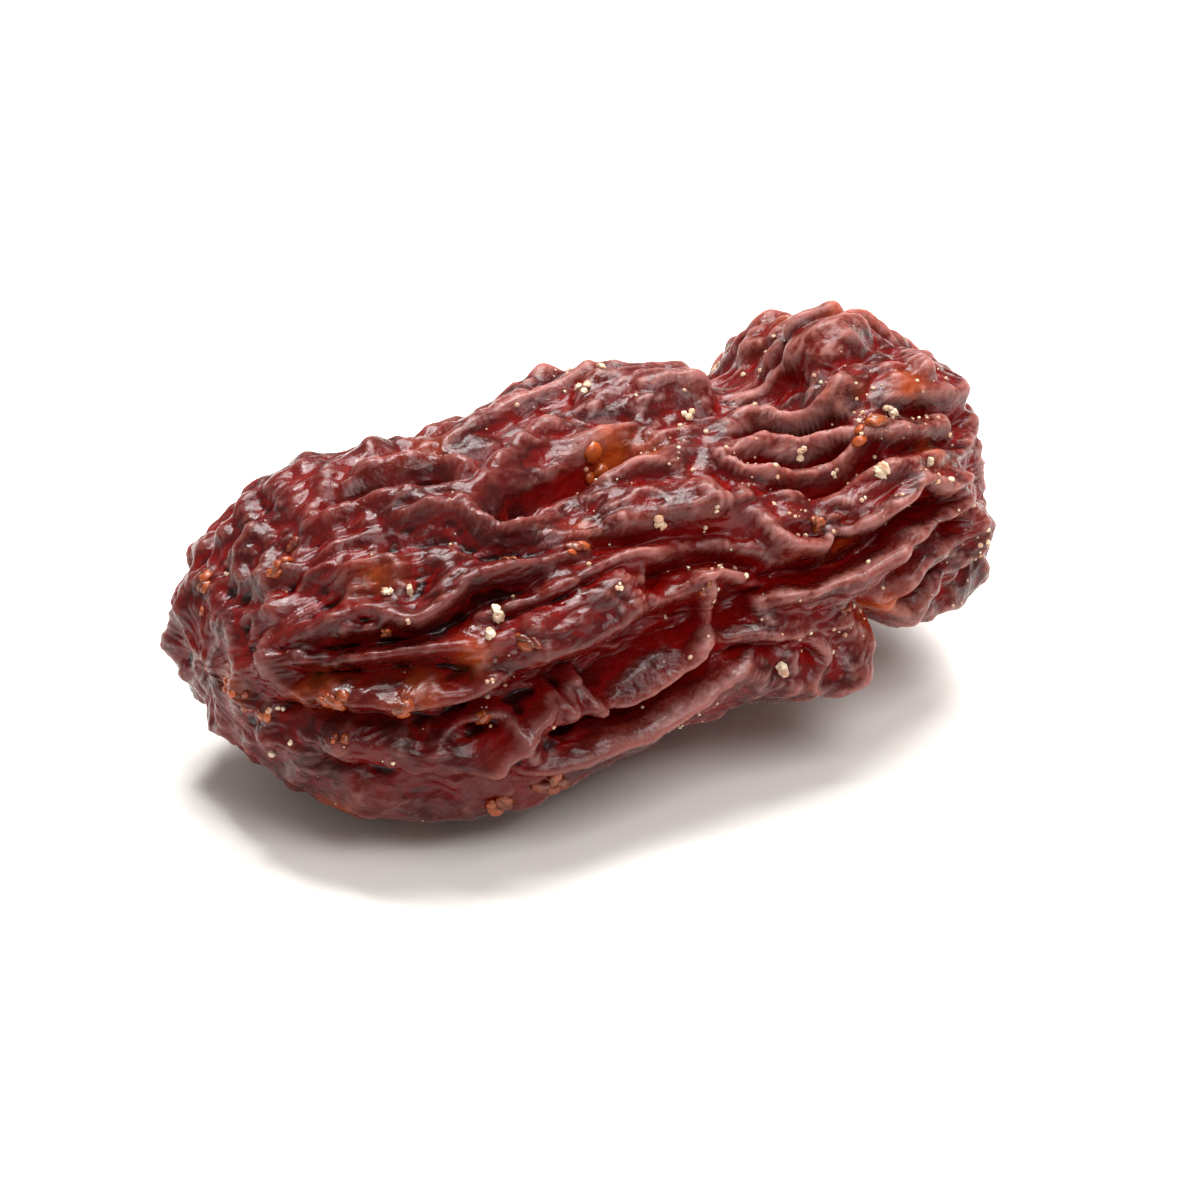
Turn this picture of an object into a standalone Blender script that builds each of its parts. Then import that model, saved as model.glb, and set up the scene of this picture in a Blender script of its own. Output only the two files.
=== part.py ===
"""A whole raisin lying on its side: one dried grape with deep lengthwise folds."""

import math

import bmesh
import bpy
import numpy as np

MM = 0.001

# Body, in millimetres. +X runs along the raisin, +Z is up and -Y faces the viewer.
HALF_LENGTH = 7.55
MIDDLE_X = 0.2
HALF_WIDTH = 4.1
HALF_HEIGHT = 2.9
LEFT_END_FULLNESS = 2.7
RIGHT_END_FULLNESS = 3.0
SECTION_FULLNESS = 2.2

# Wrinkles between the folds, each as (height, spacing across, spacing along) in millimetres, and
# the number of lengthwise pleats round the body with their height and the steep share of each.
PLEATS = 18
PLEAT_HEIGHT = 0.26
LIP_SHARE = 0.24
BUMP = (0.16, 1.7, 2.6)
HOLLOW = (0.26, 0.75, 2.1)
CRINKLE = (0.10, 0.34, 0.70)
HAIRLINE = (0.05, 0.18, 0.60)
# The left end is crumpled: its hollows are small pits.
PIT = (0.32, 0.66, 0.90)

# Finish of the skin: the width at which a noise ridge is rounded, the spread of a broad fold and
# the share of its wrinkles that it loses, the slope on which wrinkles are halved, how much crests
# and creases are sharpened, the depth at which creases bottom out and how softly, how far slopes
# lean sideways and the steepest slope that still leans further, the rounding at the resting plane,
# and the stem scar's radius.
RIDGE_ROUNDING = 0.05
BROAD = 0.6
BROAD_COVER = 0.55
GENTLE = 1.7
CRISPNESS = 0.6
CREASE_FLOOR = -0.70
FLOOR_SOFTNESS = 0.08
LEAN = 0.02
STEEPEST = 1.2
PRESS = 0.04
SCAR_RADIUS = 0.6

# Columns of the skin's grid stand closest where the folds are finest, by how much and where.
CROWDING = 0.4
FINEST_AT = math.radians(35)

# The solid: rows and columns of the skin before it is thinned out, the share of triangles kept,
# the height at which the underside is cut flat, and how near that height points are moved onto it.
ROWS = 236
COLUMNS = 420
KEEP = 0.0575
SOLE = 0.04
SNAP = 0.003

# The body sways and swells: (place along X, offset or height) in millimetres.
CENTRE_Y = ((-8.0, -0.2), (-3.0, -0.6), (0.5, 0.1), (4.5, 0.3), (6.2, 0.6), (8.0, 0.1))
ROOF = ((-8.0, 5.9), (-5.0, 6.05), (-2.5, 5.95), (0.5, 5.9), (2.4, 5.8), (3.8, 5.47), (5.4, 6.4), (8.0, 6.3))
KEEL = ((-8.0, -0.1), (-3.0, -0.14), (1.0, -0.12), (3.0, 0.3), (6.0, 0.55), (8.0, 0.6))

# Folds of the skin. Each has its height (negative for a crease), how far it spreads on its upper
# and its lower side, how square its top is, and the (along X, degrees round) points it passes.
FOLDS = (
    # Broad swells and dips of the whole body.
    ("shoulder", 0.30, 1.2, 1.2, 3, ((-5.6, 112), (-4.2, 112), (-3.0, 112))),
    ("saddle", -0.30, 0.8, 0.7, 3, ((4.0, 150), (3.9, 128), (3.7, 112), (3.6, 98))),
    ("far corner", 0.35, 0.9, 0.9, 3, ((6.4, 78), (7.0, 74), (7.3, 66))),
    ("end hollow", -0.45, 0.8, 0.8, 3, ((7.2, 44), (7.5, 25), (7.4, 2))),
    ("near corner", 0.42, 0.40, 0.36, 2, ((5.3, -28), (6.0, -32), (6.6, -36), (7.0, -40), (7.2, -42))),
    ("front tuck", -0.85, 1.3, 1.2, 3, ((-0.3, -58), (1.0, -52), (2.4, -52), (3.6, -58), (5.0, -60))),
    ("back dent", -0.60, 0.9, 1.6, 3, ((-3.5, 158), (-1.0, 162), (1.5, 166), (3.5, 160))),
    ("heel", 0.30, 1.0, 1.0, 3, ((-6.6, -30), (-5.8, -45), (-5.0, -60))),
    # Right end, from the top down.
    ("end lobe", 0.40, 0.8, 0.7, 4, ((4.8, 104), (5.3, 100), (6.0, 104))),
    ("dish", -0.16, 0.45, 0.35, 3, ((3.9, 86), (4.3, 84), (4.7, 87))),
    ("dish ripple", 0.09, 0.13, 0.13, 1.6, ((3.6, 90), (3.9, 84), (4.3, 82), (4.7, 84), (4.9, 89))),
    ("dish rim", 0.26, 0.20, 0.12, 1.5,
     ((2.9, 81), (3.4, 82), (3.9, 78), (4.4, 73), (4.9, 72), (5.1, 77))),
    ("smile crease", -0.40, 0.17, 0.18, 3, ((2.8, 73), (3.4, 76), (3.9, 72.5), (4.6, 67.5))),
    ("second lip", 0.26, 0.15, 0.12, 1.5, ((2.6, 66), (3.3, 70), (3.9, 67), (4.4, 63.5), (4.8, 60))),
    ("second crease", -0.40, 0.15, 0.16, 3, ((2.5, 61), (3.1, 64), (3.8, 62), (4.3, 59.5))),
    ("third lip", 0.28, 0.18, 0.12, 1.5,
     ((2.0, 67), (2.2, 61), (2.6, 55), (3.2, 56.5), (3.9, 56.5), (4.5, 55), (5.2, 56))),
    ("third crease", -0.26, 0.14, 0.16, 2, ((2.4, 50), (3.0, 51.5), (3.7, 51.5), (4.6, 50), (5.3, 51))),
    ("blister", 0.22, 0.34, 0.30, 3, ((5.7, 70), (6.2, 69), (6.6, 72))),
    ("blister rim", 0.16, 0.28, 0.11, 1.5, ((5.4, 64), (5.9, 61), (6.5, 61), (7.0, 65))),
    ("side worm", 0.22, 0.30, 0.12, 1.5, ((4.9, 55), (5.4, 50), (6.0, 48), (6.7, 50))),
    ("side worm crease", -0.28, 0.15, 0.15, 2, ((4.6, 49), (5.3, 45), (6.1, 43), (6.9, 44))),
    ("shelf", 0.20, 0.36, 0.34, 3, ((2.7, 47), (3.4, 43), (4.4, 44), (5.4, 40))),
    ("shelf dent", -0.14, 0.20, 0.20, 2, ((3.1, 38), (3.7, 37), (4.3, 38))),
    ("scalloped lip", 0.38, 0.26, 0.10, 1.4,
     ((2.2, 45), (2.4, 38), (2.7, 32.5), (3.3, 32), (3.6, 36), (4.1, 34), (4.6, 30), (5.1, 28.5),
      (5.4, 31), (5.7, 30), (6.1, 25), (6.7, 26), (7.2, 30))),
    ("loop crease", -0.62, 0.18, 0.26, 2,
     ((-0.2, 33), (0.2, 37), (0.8, 38), (1.4, 36), (1.9, 32), (2.3, 28))),
    ("loop lip", 0.26, 0.24, 0.11, 1.5, ((0.7, 30), (1.2, 31), (1.7, 27), (2.2, 23))),
    ("long crease", -0.60, 0.20, 0.26, 2.5,
     ((1.2, 26), (1.8, 24), (2.5, 25), (3.4, 26), (4.1, 27.5), (4.7, 25), (5.3, 22), (6.0, 20))),
    ("under crest", 0.30, 0.10, 0.28, 1.5,
     ((1.8, 16), (2.1, 18.5), (2.9, 17), (3.4, 19.5), (3.9, 21), (4.4, 20.5), (4.9, 19), (5.5, 15),
      (6.2, 14), (7.0, 17))),
    ("under crease", -0.30, 0.18, 0.22, 2, ((4.3, 9), (5.0, 7), (5.8, 9), (6.6, 8))),
    ("end ledge", 0.24, 0.11, 0.28, 1.5, ((4.9, 0), (5.6, 1), (6.4, 0), (7.2, 2))),
    ("end notch", -0.42, 0.14, 0.14, 2, ((6.0, 56), (6.7, 58), (7.3, 61))),
    ("end tuck", -0.42, 0.5, 1.0, 3, ((4.9, -42), (5.4, -54), (6.2, -62), (7.2, -68))),
    ("end groove", -0.34, 0.14, 0.20, 2, ((4.9, -10), (5.6, -9), (6.2, -10))),
    # Middle, from the top down.
    ("top lump", 0.36, 0.9, 0.7, 4, ((0.4, 103), (1.2, 99), (2.2, 97), (2.8, 96))),
    ("top nick", -0.18, 0.22, 0.26, 2, ((2.6, 122), (3.0, 108), (3.3, 98), (3.0, 90))),
    ("brow", 0.34, 0.26, 0.26, 2, ((-2.9, 77), (-2.2, 82), (-1.5, 87), (-0.8, 92), (0.2, 92))),
    ("deep valley", -0.80, 0.36, 0.38, 3, ((-2.3, 69), (-1.4, 72), (-0.6, 73), (0.3, 75), (0.9, 77))),
    ("valley rib", 0.22, 0.14, 0.14, 2, ((-1.6, 66), (-0.7, 69), (0.2, 68), (1.2, 65))),
    ("tongue", 0.38, 0.50, 0.42, 4, ((-0.7, 56), (0.1, 54), (1.0, 53), (1.8, 52))),
    ("tongue crest", 0.24, 0.34, 0.14, 1.5, ((1.4, 49), (2.4, 50), (3.4, 49))),
    ("under tongue", -0.26, 0.16, 0.25, 2, ((-0.9, 49), (0.0, 47), (1.0, 45), (2.0, 43))),
    ("ridge lip", 0.30, 0.24, 0.11, 1.5,
     ((-3.6, 40), (-2.6, 41), (-1.6, 41.5), (-0.6, 42.5), (0.5, 39), (1.5, 38))),
    ("smooth band", 0.42, 0.50, 0.46, 5, ((-3.0, 29), (-2.2, 29.5), (-1.3, 31), (-0.5, 34))),
    ("great crease", -0.85, 0.36, 0.50, 3,
     ((-4.8, 2), (-4.0, 5), (-3.2, 11), (-2.4, 14), (-1.4, 13), (-0.4, 17), (0.6, 20))),
    ("zigzag", 0.40, 0.13, 0.22, 1.5,
     ((-4.6, -5), (-4.2, 0), (-3.8, 4), (-3.4, 3), (-3.1, -2), (-2.9, 1), (-2.6, 4), (-2.4, 8),
      (-2.2, 3), (-2.0, 9), (-1.8, 11))),
    ("star", 0.26, 0.13, 0.18, 1.5, ((-3.8, -15), (-3.5, -9), (-3.2, -5), (-3.0, -9), (-2.8, -15))),
    ("pillar", 0.34, 0.13, 0.13, 1.5, ((-1.9, 13), (-1.8, 8), (-1.7, 2), (-1.5, -7))),
    ("fan", 0.36, 0.13, 0.20, 1.5, ((-1.5, 0), (-0.8, -2), (-0.2, 0), (0.2, 2), (0.5, 5), (0.7, 10))),
    ("hollow", -0.70, 0.34, 0.40, 3, ((0.1, 18), (0.8, 18), (1.4, 18), (1.9, 20))),
    ("hollow rib", 0.40, 0.12, 0.14, 1.5, ((0.95, 27), (1.0, 21), (0.95, 15), (0.7, 9))),
    # Left end, from the top down.
    ("high crest", 0.28, 0.14, 0.26, 1.5, ((-4.2, 103), (-3.6, 99), (-2.9, 97), (-2.5, 91), (-2.3, 86))),
    ("gloss crest", 0.28, 0.14, 0.28, 1.5, ((-5.3, 90), (-4.5, 88), (-3.8, 86), (-3.1, 83), (-2.7, 80))),
    ("high crease", -0.34, 0.20, 0.20, 2, ((-4.9, 97), (-4.0, 93), (-3.3, 91), (-2.8, 88))),
    ("ear crease", -0.36, 0.22, 0.22, 2, ((-2.9, 108), (-2.2, 101), (-1.5, 97), (-1.0, 98))),
    ("slip crest", 0.28, 0.26, 0.13, 1.5, ((-4.2, 79), (-3.2, 75), (-2.8, 69), (-2.3, 63), (-1.4, 62))),
    ("mid crease", -0.30, 0.25, 0.25, 2, ((-5.2, 68), (-4.0, 70), (-3.4, 67), (-2.9, 60), (-2.0, 55))),
    ("left crest", 0.30, 0.24, 0.12, 1.5,
     ((-6.9, 45), (-6.2, 46), (-5.4, 48.5), (-5.0, 44), (-4.6, 41), (-4.1, 45), (-3.4, 51),
      (-2.4, 50), (-1.2, 49))),
    ("left crease", -0.36, 0.16, 0.24, 2,
     ((-6.3, 38), (-5.5, 37), (-4.8, 37), (-4.2, 39), (-3.4, 45), (-2.4, 45))),
    ("worm", 0.24, 0.24, 0.13, 1.5, ((-7.0, 37), (-6.6, 35), (-6.1, 34))),
    ("third crest", 0.26, 0.22, 0.12, 1.5, ((-6.2, 31), (-5.2, 32), (-4.4, 31.5), (-3.6, 30))),
    ("fourth crease", -0.34, 0.18, 0.24, 2, ((-6.6, 26), (-5.6, 26), (-4.6, 25), (-3.8, 22))),
    ("fifth crest", 0.26, 0.24, 0.12, 1.5, ((-6.6, 17), (-5.8, 14), (-5.0, 12), (-4.2, 13), (-3.3, 18))),
    ("low crease", -0.30, 0.16, 0.22, 2, ((-7.0, 4), (-6.4, 4), (-5.6, 5), (-4.8, 3))),
    ("low crest", 0.22, 0.30, 0.35, 3, ((-6.4, -6), (-5.4, -8), (-4.4, -9), (-3.2, -10))),
    ("sill crease", -0.26, 0.16, 0.20, 2, ((-6.2, -20), (-5.2, -23), (-4.2, -22), (-3.2, -18))),
    ("sill", 0.26, 0.30, 0.40, 3, ((-5.8, -34), (-4.6, -38), (-3.4, -36), (-2.2, -34))),
    # Low front edge and the lobe at its right.
    ("shining edge", 0.40, 0.10, 0.38, 1.4,
     ((-3.2, -18), (-2.3, -15), (-1.4, -13), (-0.8, -13), (0.2, -9), (1.1, -3), (1.7, 1))),
    ("red band", -0.62, 0.24, 0.20, 3, ((-2.6, -8), (-1.6, -7), (-0.8, -7), (0.0, -4), (0.8, 1))),
    ("front lobe", 0.46, 0.70, 0.62, 4, ((2.0, -12), (2.8, -20), (3.5, -24), (3.9, -14))),
    ("lobe swirl", 0.14, 0.13, 0.13, 1.6,
     ((2.1, 8), (2.3, 0), (2.9, -4), (3.1, -10), (2.7, -16), (3.4, -22), (4.0, -16))),
    ("lobe dent", -0.20, 0.22, 0.22, 2, ((2.4, -8), (2.9, -12), (3.5, -10))),
    ("lobe groove", -0.26, 0.12, 0.16, 2, ((1.0, 3), (1.9, 1), (2.6, -3), (3.0, -10))),
    ("lobe back", -0.55, 0.24, 0.30, 2, ((4.0, 6), (4.3, -6), (4.6, -16), (4.8, -30), (4.8, -42))),
    ("under lip", 0.30, 0.25, 0.25, 2, ((5.0, -22), (5.8, -14), (6.6, -12), (7.2, -6))),
)


def smooth_path(x, stations):
    """A smooth curve through (x, value) stations: cosine blends from each to the next."""
    xs, values = np.array(stations, float).T
    k = np.clip(np.searchsorted(xs, x) - 1, 0, len(xs) - 2)
    t = np.clip((x - xs[k]) / (xs[k + 1] - xs[k]), 0, 1)
    t = (1 - np.cos(math.pi * t)) / 2
    return values[k] * (1 - t) + values[k + 1] * t


def body_points(x, radius, angle):
    """Points of the plain body: a superellipse section carried along the centre line.

    x is along the raisin, radius is the share of the full section there, and angle is in radians
    from the front (-Y) up over the top (+Z).
    """
    c, s = np.cos(angle), np.sin(angle)
    squircle = (np.abs(c) ** SECTION_FULLNESS + np.abs(s) ** SECTION_FULLNESS) ** (-1 / SECTION_FULLNESS)
    y = smooth_path(x, CENTRE_Y) - HALF_WIDTH * radius * squircle * c
    roof, keel = smooth_path(x, ROOF), smooth_path(x, KEEL)
    z = (roof + keel) / 2 + (roof - keel) / 2 * radius * squircle * s
    return np.stack([x + 0 * angle, y, z], axis=-1)


def end_profile(fullness, count=400):
    """(x, radius) along a quarter of a superellipse of unit size, from the middle to the tip."""
    a = np.linspace(0, math.pi / 2, count)
    return np.sin(a) ** (2 / fullness), np.cos(a) ** (2 / fullness)


def profile():
    """(x, radius) finely along the body's lengthwise profile, tip to tip."""
    xl, rl = end_profile(LEFT_END_FULLNESS)
    xr, rr = end_profile(RIGHT_END_FULLNESS)
    x = np.concatenate([-xl[::-1], xr[1:]]) * HALF_LENGTH + MIDDLE_X
    return x, np.concatenate([rl[::-1], rr[1:]])


def meridian(rows):
    """(x, radius) at rows + 1 stations evenly spaced along the body's lengthwise profile."""
    x, r = profile()
    step = np.hypot(np.diff(x), np.diff(r) * HALF_HEIGHT)
    run = np.concatenate([[0], np.cumsum(step)])
    at = np.linspace(0, run[-1], rows + 1)
    return np.interp(at, run, x), np.interp(at, run, r)


def column_angles(columns):
    """Angles round the body of the grid's columns, closer together about FINEST_AT."""
    even = np.arange(columns) * 2 * math.pi / columns
    return even - CROWDING * np.sin(even - FINEST_AT)


def body_grid(rows, columns):
    """The plain body as a (rows + 1, columns, 3) grid of points, with a tip at each end row."""
    x, r = meridian(rows)
    angle = column_angles(columns)
    return body_points(x[:, None] + 0 * angle, r[:, None] + 0 * angle, angle[None, :] + 0 * x[:, None]), r


def tangents(grid):
    """Steps along the rows and round the columns of a grid that closes on itself round."""
    return np.gradient(grid, axis=0), (np.roll(grid, -1, 1) - np.roll(grid, 1, 1)) / 2


def unit(v):
    return v / np.maximum(np.linalg.norm(v, axis=-1, keepdims=True), 1e-12)


def normals(grid):
    """Outward unit normals of a grid; a tip row shares the mean of the ring beside it."""
    along, around = tangents(grid)
    n = unit(np.cross(along, around))
    n[0], n[-1] = unit(n[1].mean(0)), unit(n[-2].mean(0))
    return n


def through(points, count):
    """A smooth curve through the points (Catmull-Rom), as count samples."""
    p = np.array(points, float)
    p = np.vstack([2 * p[0] - p[1], p, 2 * p[-1] - p[-2]])
    u = np.linspace(0, len(p) - 3 - 1e-9, count)
    i = u.astype(int)
    t = (u - i)[:, None]
    a, b, c, d = p[i], p[i + 1], p[i + 2], p[i + 3]
    return (2 * b + (c - a) * t + (2 * a - 5 * b + 4 * c - d) * t**2 + (3 * b - a - 3 * c + d) * t**3) / 2


def fold_height(points, path, height, upper, lower, squareness):
    """Height of one fold over the body at points.

    With d the distance to the fold's line across it and w its spread on that side, the height is
    height * exp(-|d / w| ** squareness), fading out in a rounded end at each end of the line.
    """
    xs, rs = profile()
    line = through(path, 14 * len(path))
    at = body_points(line[:, 0], np.interp(line[:, 0], xs, rs), np.radians(line[:, 1]))
    ahead = unit(np.gradient(at, axis=0))
    # Upward across the line: towards larger angles round the body.
    nudge = body_points(line[:, 0], np.interp(line[:, 0], xs, rs), np.radians(line[:, 1] + 1)) - at
    across = unit(nudge - (nudge * ahead).sum(-1, keepdims=True) * ahead)
    reach = 3.0 * max(upper, lower)
    near = np.flatnonzero(((points > at.min(0) - reach) & (points < at.max(0) + reach)).all(-1))
    p = points[near]
    best = ((at**2).sum(-1) - 2 * p @ at.T).argmin(-1)
    offset = p - at[best]
    away = (offset**2).sum(-1)
    side = (offset * across[best]).sum(-1)
    beyond = (offset * ahead[best]).sum(-1)
    beyond = np.where((best == 0) | (best == len(at) - 1), beyond, 0)
    depth = np.sqrt(np.maximum(away - side**2 - beyond**2, 0))
    w = np.where(side > 0, upper, lower)
    d = np.sqrt((side / w) ** 2 + (beyond / min(upper, lower)) ** 2 + (depth / (2 * w)) ** 2)
    share = best / (len(at) - 1)
    taper = np.sqrt(np.clip(np.minimum(share, 1 - share) * 6 + 0.15, 0, 1))
    out = np.zeros(len(points))
    out[near] = height * taper * np.exp(-(d**squareness))
    return out


def lattice(seed):
    """A shuffled table and random unit arrows for the noise field, from a seed."""
    rng = np.random.default_rng(seed)
    arrows = rng.normal(size=(256, 3))
    return rng.permutation(256), unit(arrows)


def noise(points, seed):
    """Smooth random field, about -1 to 1 with bumps one unit apart: gradient noise on a cubic lattice."""
    table, arrows = lattice(seed)
    cell = np.floor(points).astype(int)
    f = points - cell
    w = f**3 * (f * (f * 6 - 15) + 10)
    total = 0.0
    for corner in np.ndindex(2, 2, 2):
        c = cell + corner
        pick = table[(table[(table[c[..., 0] % 256] + c[..., 1]) % 256] + c[..., 2]) % 256]
        weight = np.where(corner, w, 1 - w).prod(-1)
        total = total + weight * (arrows[pick] * (f - corner)).sum(-1)
    return total * 1.6


def ridged(points, size, seed):
    """Branching ridges with the height and spacings of size, about evenly above and below 0.

    Height is 1 - |noise|, with the noise field bent by a slower one so that the ridges wander.
    """
    height, across, along = size
    bend = np.stack([noise(points / (3 * across), seed + k) for k in (1, 2, 3)], -1)
    n = noise(points / (along, across, across) + bend * (0.27, 0.9, 0.9), seed)
    return height * (np.clip(1 - np.sqrt(n**2 + RIDGE_ROUNDING**2) / 0.6, -0.4, 1) - 0.55)


def hollows(points, size, seed):
    """Concave hollows that meet in thin crests, with the height and spacings of size.

    With centres scattered one to a cell of a cubic lattice, the height is the squared distance to
    the nearest centre. A slower noise bends the lattice so that the crests wander.
    """
    height, across, along = size
    table, _ = lattice(seed)
    spots = np.random.default_rng(seed).random((256, 3))
    bend = np.stack([noise(points / (2.5 * across), seed + k) for k in (1, 2, 3)], -1)
    p = points / (along, across, across) + bend * (0.2, 0.45, 0.45)
    cell = np.floor(p).astype(int)
    nearest = np.full(len(points), np.inf)
    for corner in np.ndindex(3, 3, 3):
        c = cell + corner - 1
        pick = table[(table[(table[c[..., 0] % 256] + c[..., 1]) % 256] + c[..., 2]) % 256]
        nearest = np.minimum(nearest, ((p - c - spots[pick]) ** 2).sum(-1))
    return height * (1.5 * nearest - 0.5)


def pleats(points, angle, seed):
    """Lengthwise pleats round the body, like overlapping terraces.

    The pleat number rises with the angle and is bent by two noise fields, so pleats wander, pinch
    and close on themselves. Each rises steeply from its crease to a sharp lip over LIP_SHARE of its
    width, then falls away slowly, and a third noise field makes pleats fade in and out.
    """
    slow = noise(points / (5.0, 2.4, 2.4), seed)
    quick = noise(points / (2.2, 1.1, 1.1), seed + 1)
    number = PLEATS * angle / (2 * math.pi) + 0.9 * slow + 0.40 * quick
    t = number % 1
    falling = 1 - np.clip((t - LIP_SHARE) / (1 - LIP_SHARE), 0, 1) ** 0.75
    strength = np.clip(0.7 + 1.3 * noise(points / (3.0, 1.5, 1.5), seed + 2), 0.15, 1.3)
    return PLEAT_HEIGHT * strength * (np.where(t < LIP_SHARE, smooth_step(t / LIP_SHARE), falling) - 0.45)


def bottomed(h):
    """Heights of the creases with the deepest filled to a nearly flat floor, softly."""
    over = h - CREASE_FLOOR
    lifted = (over + np.sqrt(over**2 + FLOOR_SOFTNESS**2)) / 2
    return CREASE_FLOOR + lifted + 0.15 * np.minimum(over, 0)


def relief(points, radius, angle):
    """Heights over the plain body of the named folds, and of the wrinkles that fill the skin between.

    The wrinkles are pleats, hollows and hairlines, less so on a narrow fold. The left end is pitted
    instead of pleated, the tips and the underside are smoother.
    """
    creases, crests, cover = np.zeros((3, len(points)))
    for _, height, upper, lower, squareness, path in FOLDS:
        one = fold_height(points, path, height, upper, lower, squareness)
        creases += np.minimum(one, 0)
        crests += np.maximum(one, 0)
        share = 1.0 if max(upper, lower) < BROAD else BROAD_COVER
        cover = np.maximum(cover, share * np.abs(one / height))
    named = bottomed(creases) + crests
    left = smooth_step((-points[:, 0] - 1.6) / 2.0)
    tip = smooth_step(radius / 0.55)
    pleated = smooth_step((radius - 0.35) / 0.4) * (1 - 0.85 * cover) * (1 - 0.5 * left)
    hollow = (1 - left) * hollows(points, HOLLOW, 31) + left * hollows(points, PIT, 91)
    broad = pleated * pleats(points, angle, 11) + (1 - 0.65 * cover) * hollow
    broad += BUMP[0] * noise(points / (BUMP[2], BUMP[1], BUMP[1]), 71)
    fine = hollows(points, CRINKLE, 51) + ridged(points, HAIRLINE, 111)
    under = 1 - 0.7 * smooth_step((1.9 - points[:, 2]) / 1.8)
    skin = broad * (0.25 + 0.75 * tip) + fine
    return named * (0.3 + 0.7 * tip) + scar(points), skin * under


def scar(points):
    """The stem scar at the right tip: a shallow torn dimple with a low, uneven rim, in millimetres."""
    offset = points - body_points(HALF_LENGTH + MIDDLE_X, 0.0, 0.0)
    turn = np.arctan2(offset[..., 2], offset[..., 1])
    torn = 1 + 0.20 * np.cos(2 * turn + 0.6) + 0.12 * np.cos(3 * turn + 2.0) + 0.08 * np.cos(7 * turn)
    d = np.linalg.norm(offset, axis=-1) / torn
    rim = 0.13 * (1 + 0.7 * np.cos(3 * turn - 0.5)) * np.exp(-((d - SCAR_RADIUS) / 0.22) ** 2)
    return rim - 0.38 * np.exp(-((d / SCAR_RADIUS) ** 4))


def smooth_step(t):
    t = np.clip(t, 0, 1)
    return t * t * (3 - 2 * t)


def smoothed(h, turns):
    """Heights on the grid with the sharpest corners rounded: a few passes of a 1-2-1 average."""
    for _ in range(turns):
        h = (np.roll(h, 1, 1) + 2 * h + np.roll(h, -1, 1)) / 4
        h[1:-1] = (h[:-2] + 2 * h[1:-1] + h[2:]) / 4
    return h


def slopes(h, base):
    """Slope of the heights as a vector along the plain body, pointing uphill."""
    along, around = tangents(base)
    rise_along, rise_around = tangents(h[..., None])
    slope = rise_along * along / np.maximum((along**2).sum(-1, keepdims=True), 1e-6)
    return slope + rise_around * around / np.maximum((around**2).sum(-1, keepdims=True), 1e-4)


def skin_heights(base, r):
    """Height of the skin over the plain body at each point of its grid.

    Wrinkles fade on the steep side of a fold, where the skin is stretched smooth.
    """
    columns = base.shape[1]
    angle = np.tile(column_angles(columns), len(r))
    folds, wrinkles = relief(base.reshape(-1, 3), np.repeat(r, columns), angle)
    folds, wrinkles = folds.reshape(base.shape[:2]), wrinkles.reshape(base.shape[:2])
    steep = np.linalg.norm(slopes(smoothed(folds, 4), base), axis=-1)
    h = folds + wrinkles / (1 + (steep / GENTLE) ** 2)
    h[0], h[-1] = h[1].mean(), h[-2].mean()
    return h


def raisin_grid(rows, columns):
    """The raisin's skin as a (rows + 1, columns, 3) grid of points, one tip at each end row."""
    base, r = body_grid(rows, columns)
    h = smoothed(skin_heights(base, r), 1)
    h = h + CRISPNESS * (h - smoothed(h, 8))
    slope = slopes(h, base)
    steep = np.linalg.norm(slope, axis=-1, keepdims=True)
    fade = smooth_step(r / 0.4)[:, None, None]
    # Each point leans away from the crest above it, so that crests are full and creases pinched.
    grid = base + normals(base) * h[..., None] - LEAN * fade * slope / np.maximum(1, steep / STEEPEST)
    grid[..., 2] = settle(grid[..., 2])
    grid[0], grid[-1] = grid[0].mean(0), grid[-1].mean(0)
    return grid


def settle(z):
    """Heights above the resting plane: what would lie below it is pressed flat."""
    low = (z + np.sqrt(z**2 + PRESS**2)) / 2
    return np.where(z > 6 * PRESS, z, low)


# Blender objects


def clear_scene():
    for ob in list(bpy.data.objects):
        bpy.data.objects.remove(ob, do_unlink=True)


def skin_mesh(name, grid):
    """Closed mesh of a grid that joins up round; each end row becomes one tip vertex."""
    rows, columns = grid.shape[0] - 1, grid.shape[1]
    vertices = np.concatenate([grid[0, :1], grid[1:-1].reshape(-1, 3), grid[-1, :1]])
    ring = 1 + np.arange((rows - 1) * columns).reshape(rows - 1, columns)
    beside = np.roll(ring, -1, 1)
    quads = np.stack([ring[:-1], ring[1:], beside[1:], beside[:-1]], -1).reshape(-1, 4)
    first = np.stack([0 * ring[0], ring[0], beside[0]], -1)
    last = np.stack([0 * ring[0] + len(vertices) - 1, beside[-1], ring[-1]], -1)
    mesh = bpy.data.meshes.new(name)
    mesh.from_pydata(vertices.tolist(), [], first.tolist() + quads.tolist() + last.tolist())
    return mesh


def thinned(mesh, share):
    """A copy of the mesh with its triangles merged down to the given share of them."""
    ob = bpy.data.objects.new("fine", mesh)
    bpy.context.scene.collection.objects.link(ob)
    merge = ob.modifiers.new("thin", "DECIMATE")
    merge.ratio = share
    merge.use_collapse_triangulate = True
    evaluated = ob.evaluated_get(bpy.context.evaluated_depsgraph_get())
    out = bpy.data.meshes.new_from_object(evaluated)
    bpy.data.objects.remove(ob, do_unlink=True)
    return out


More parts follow.
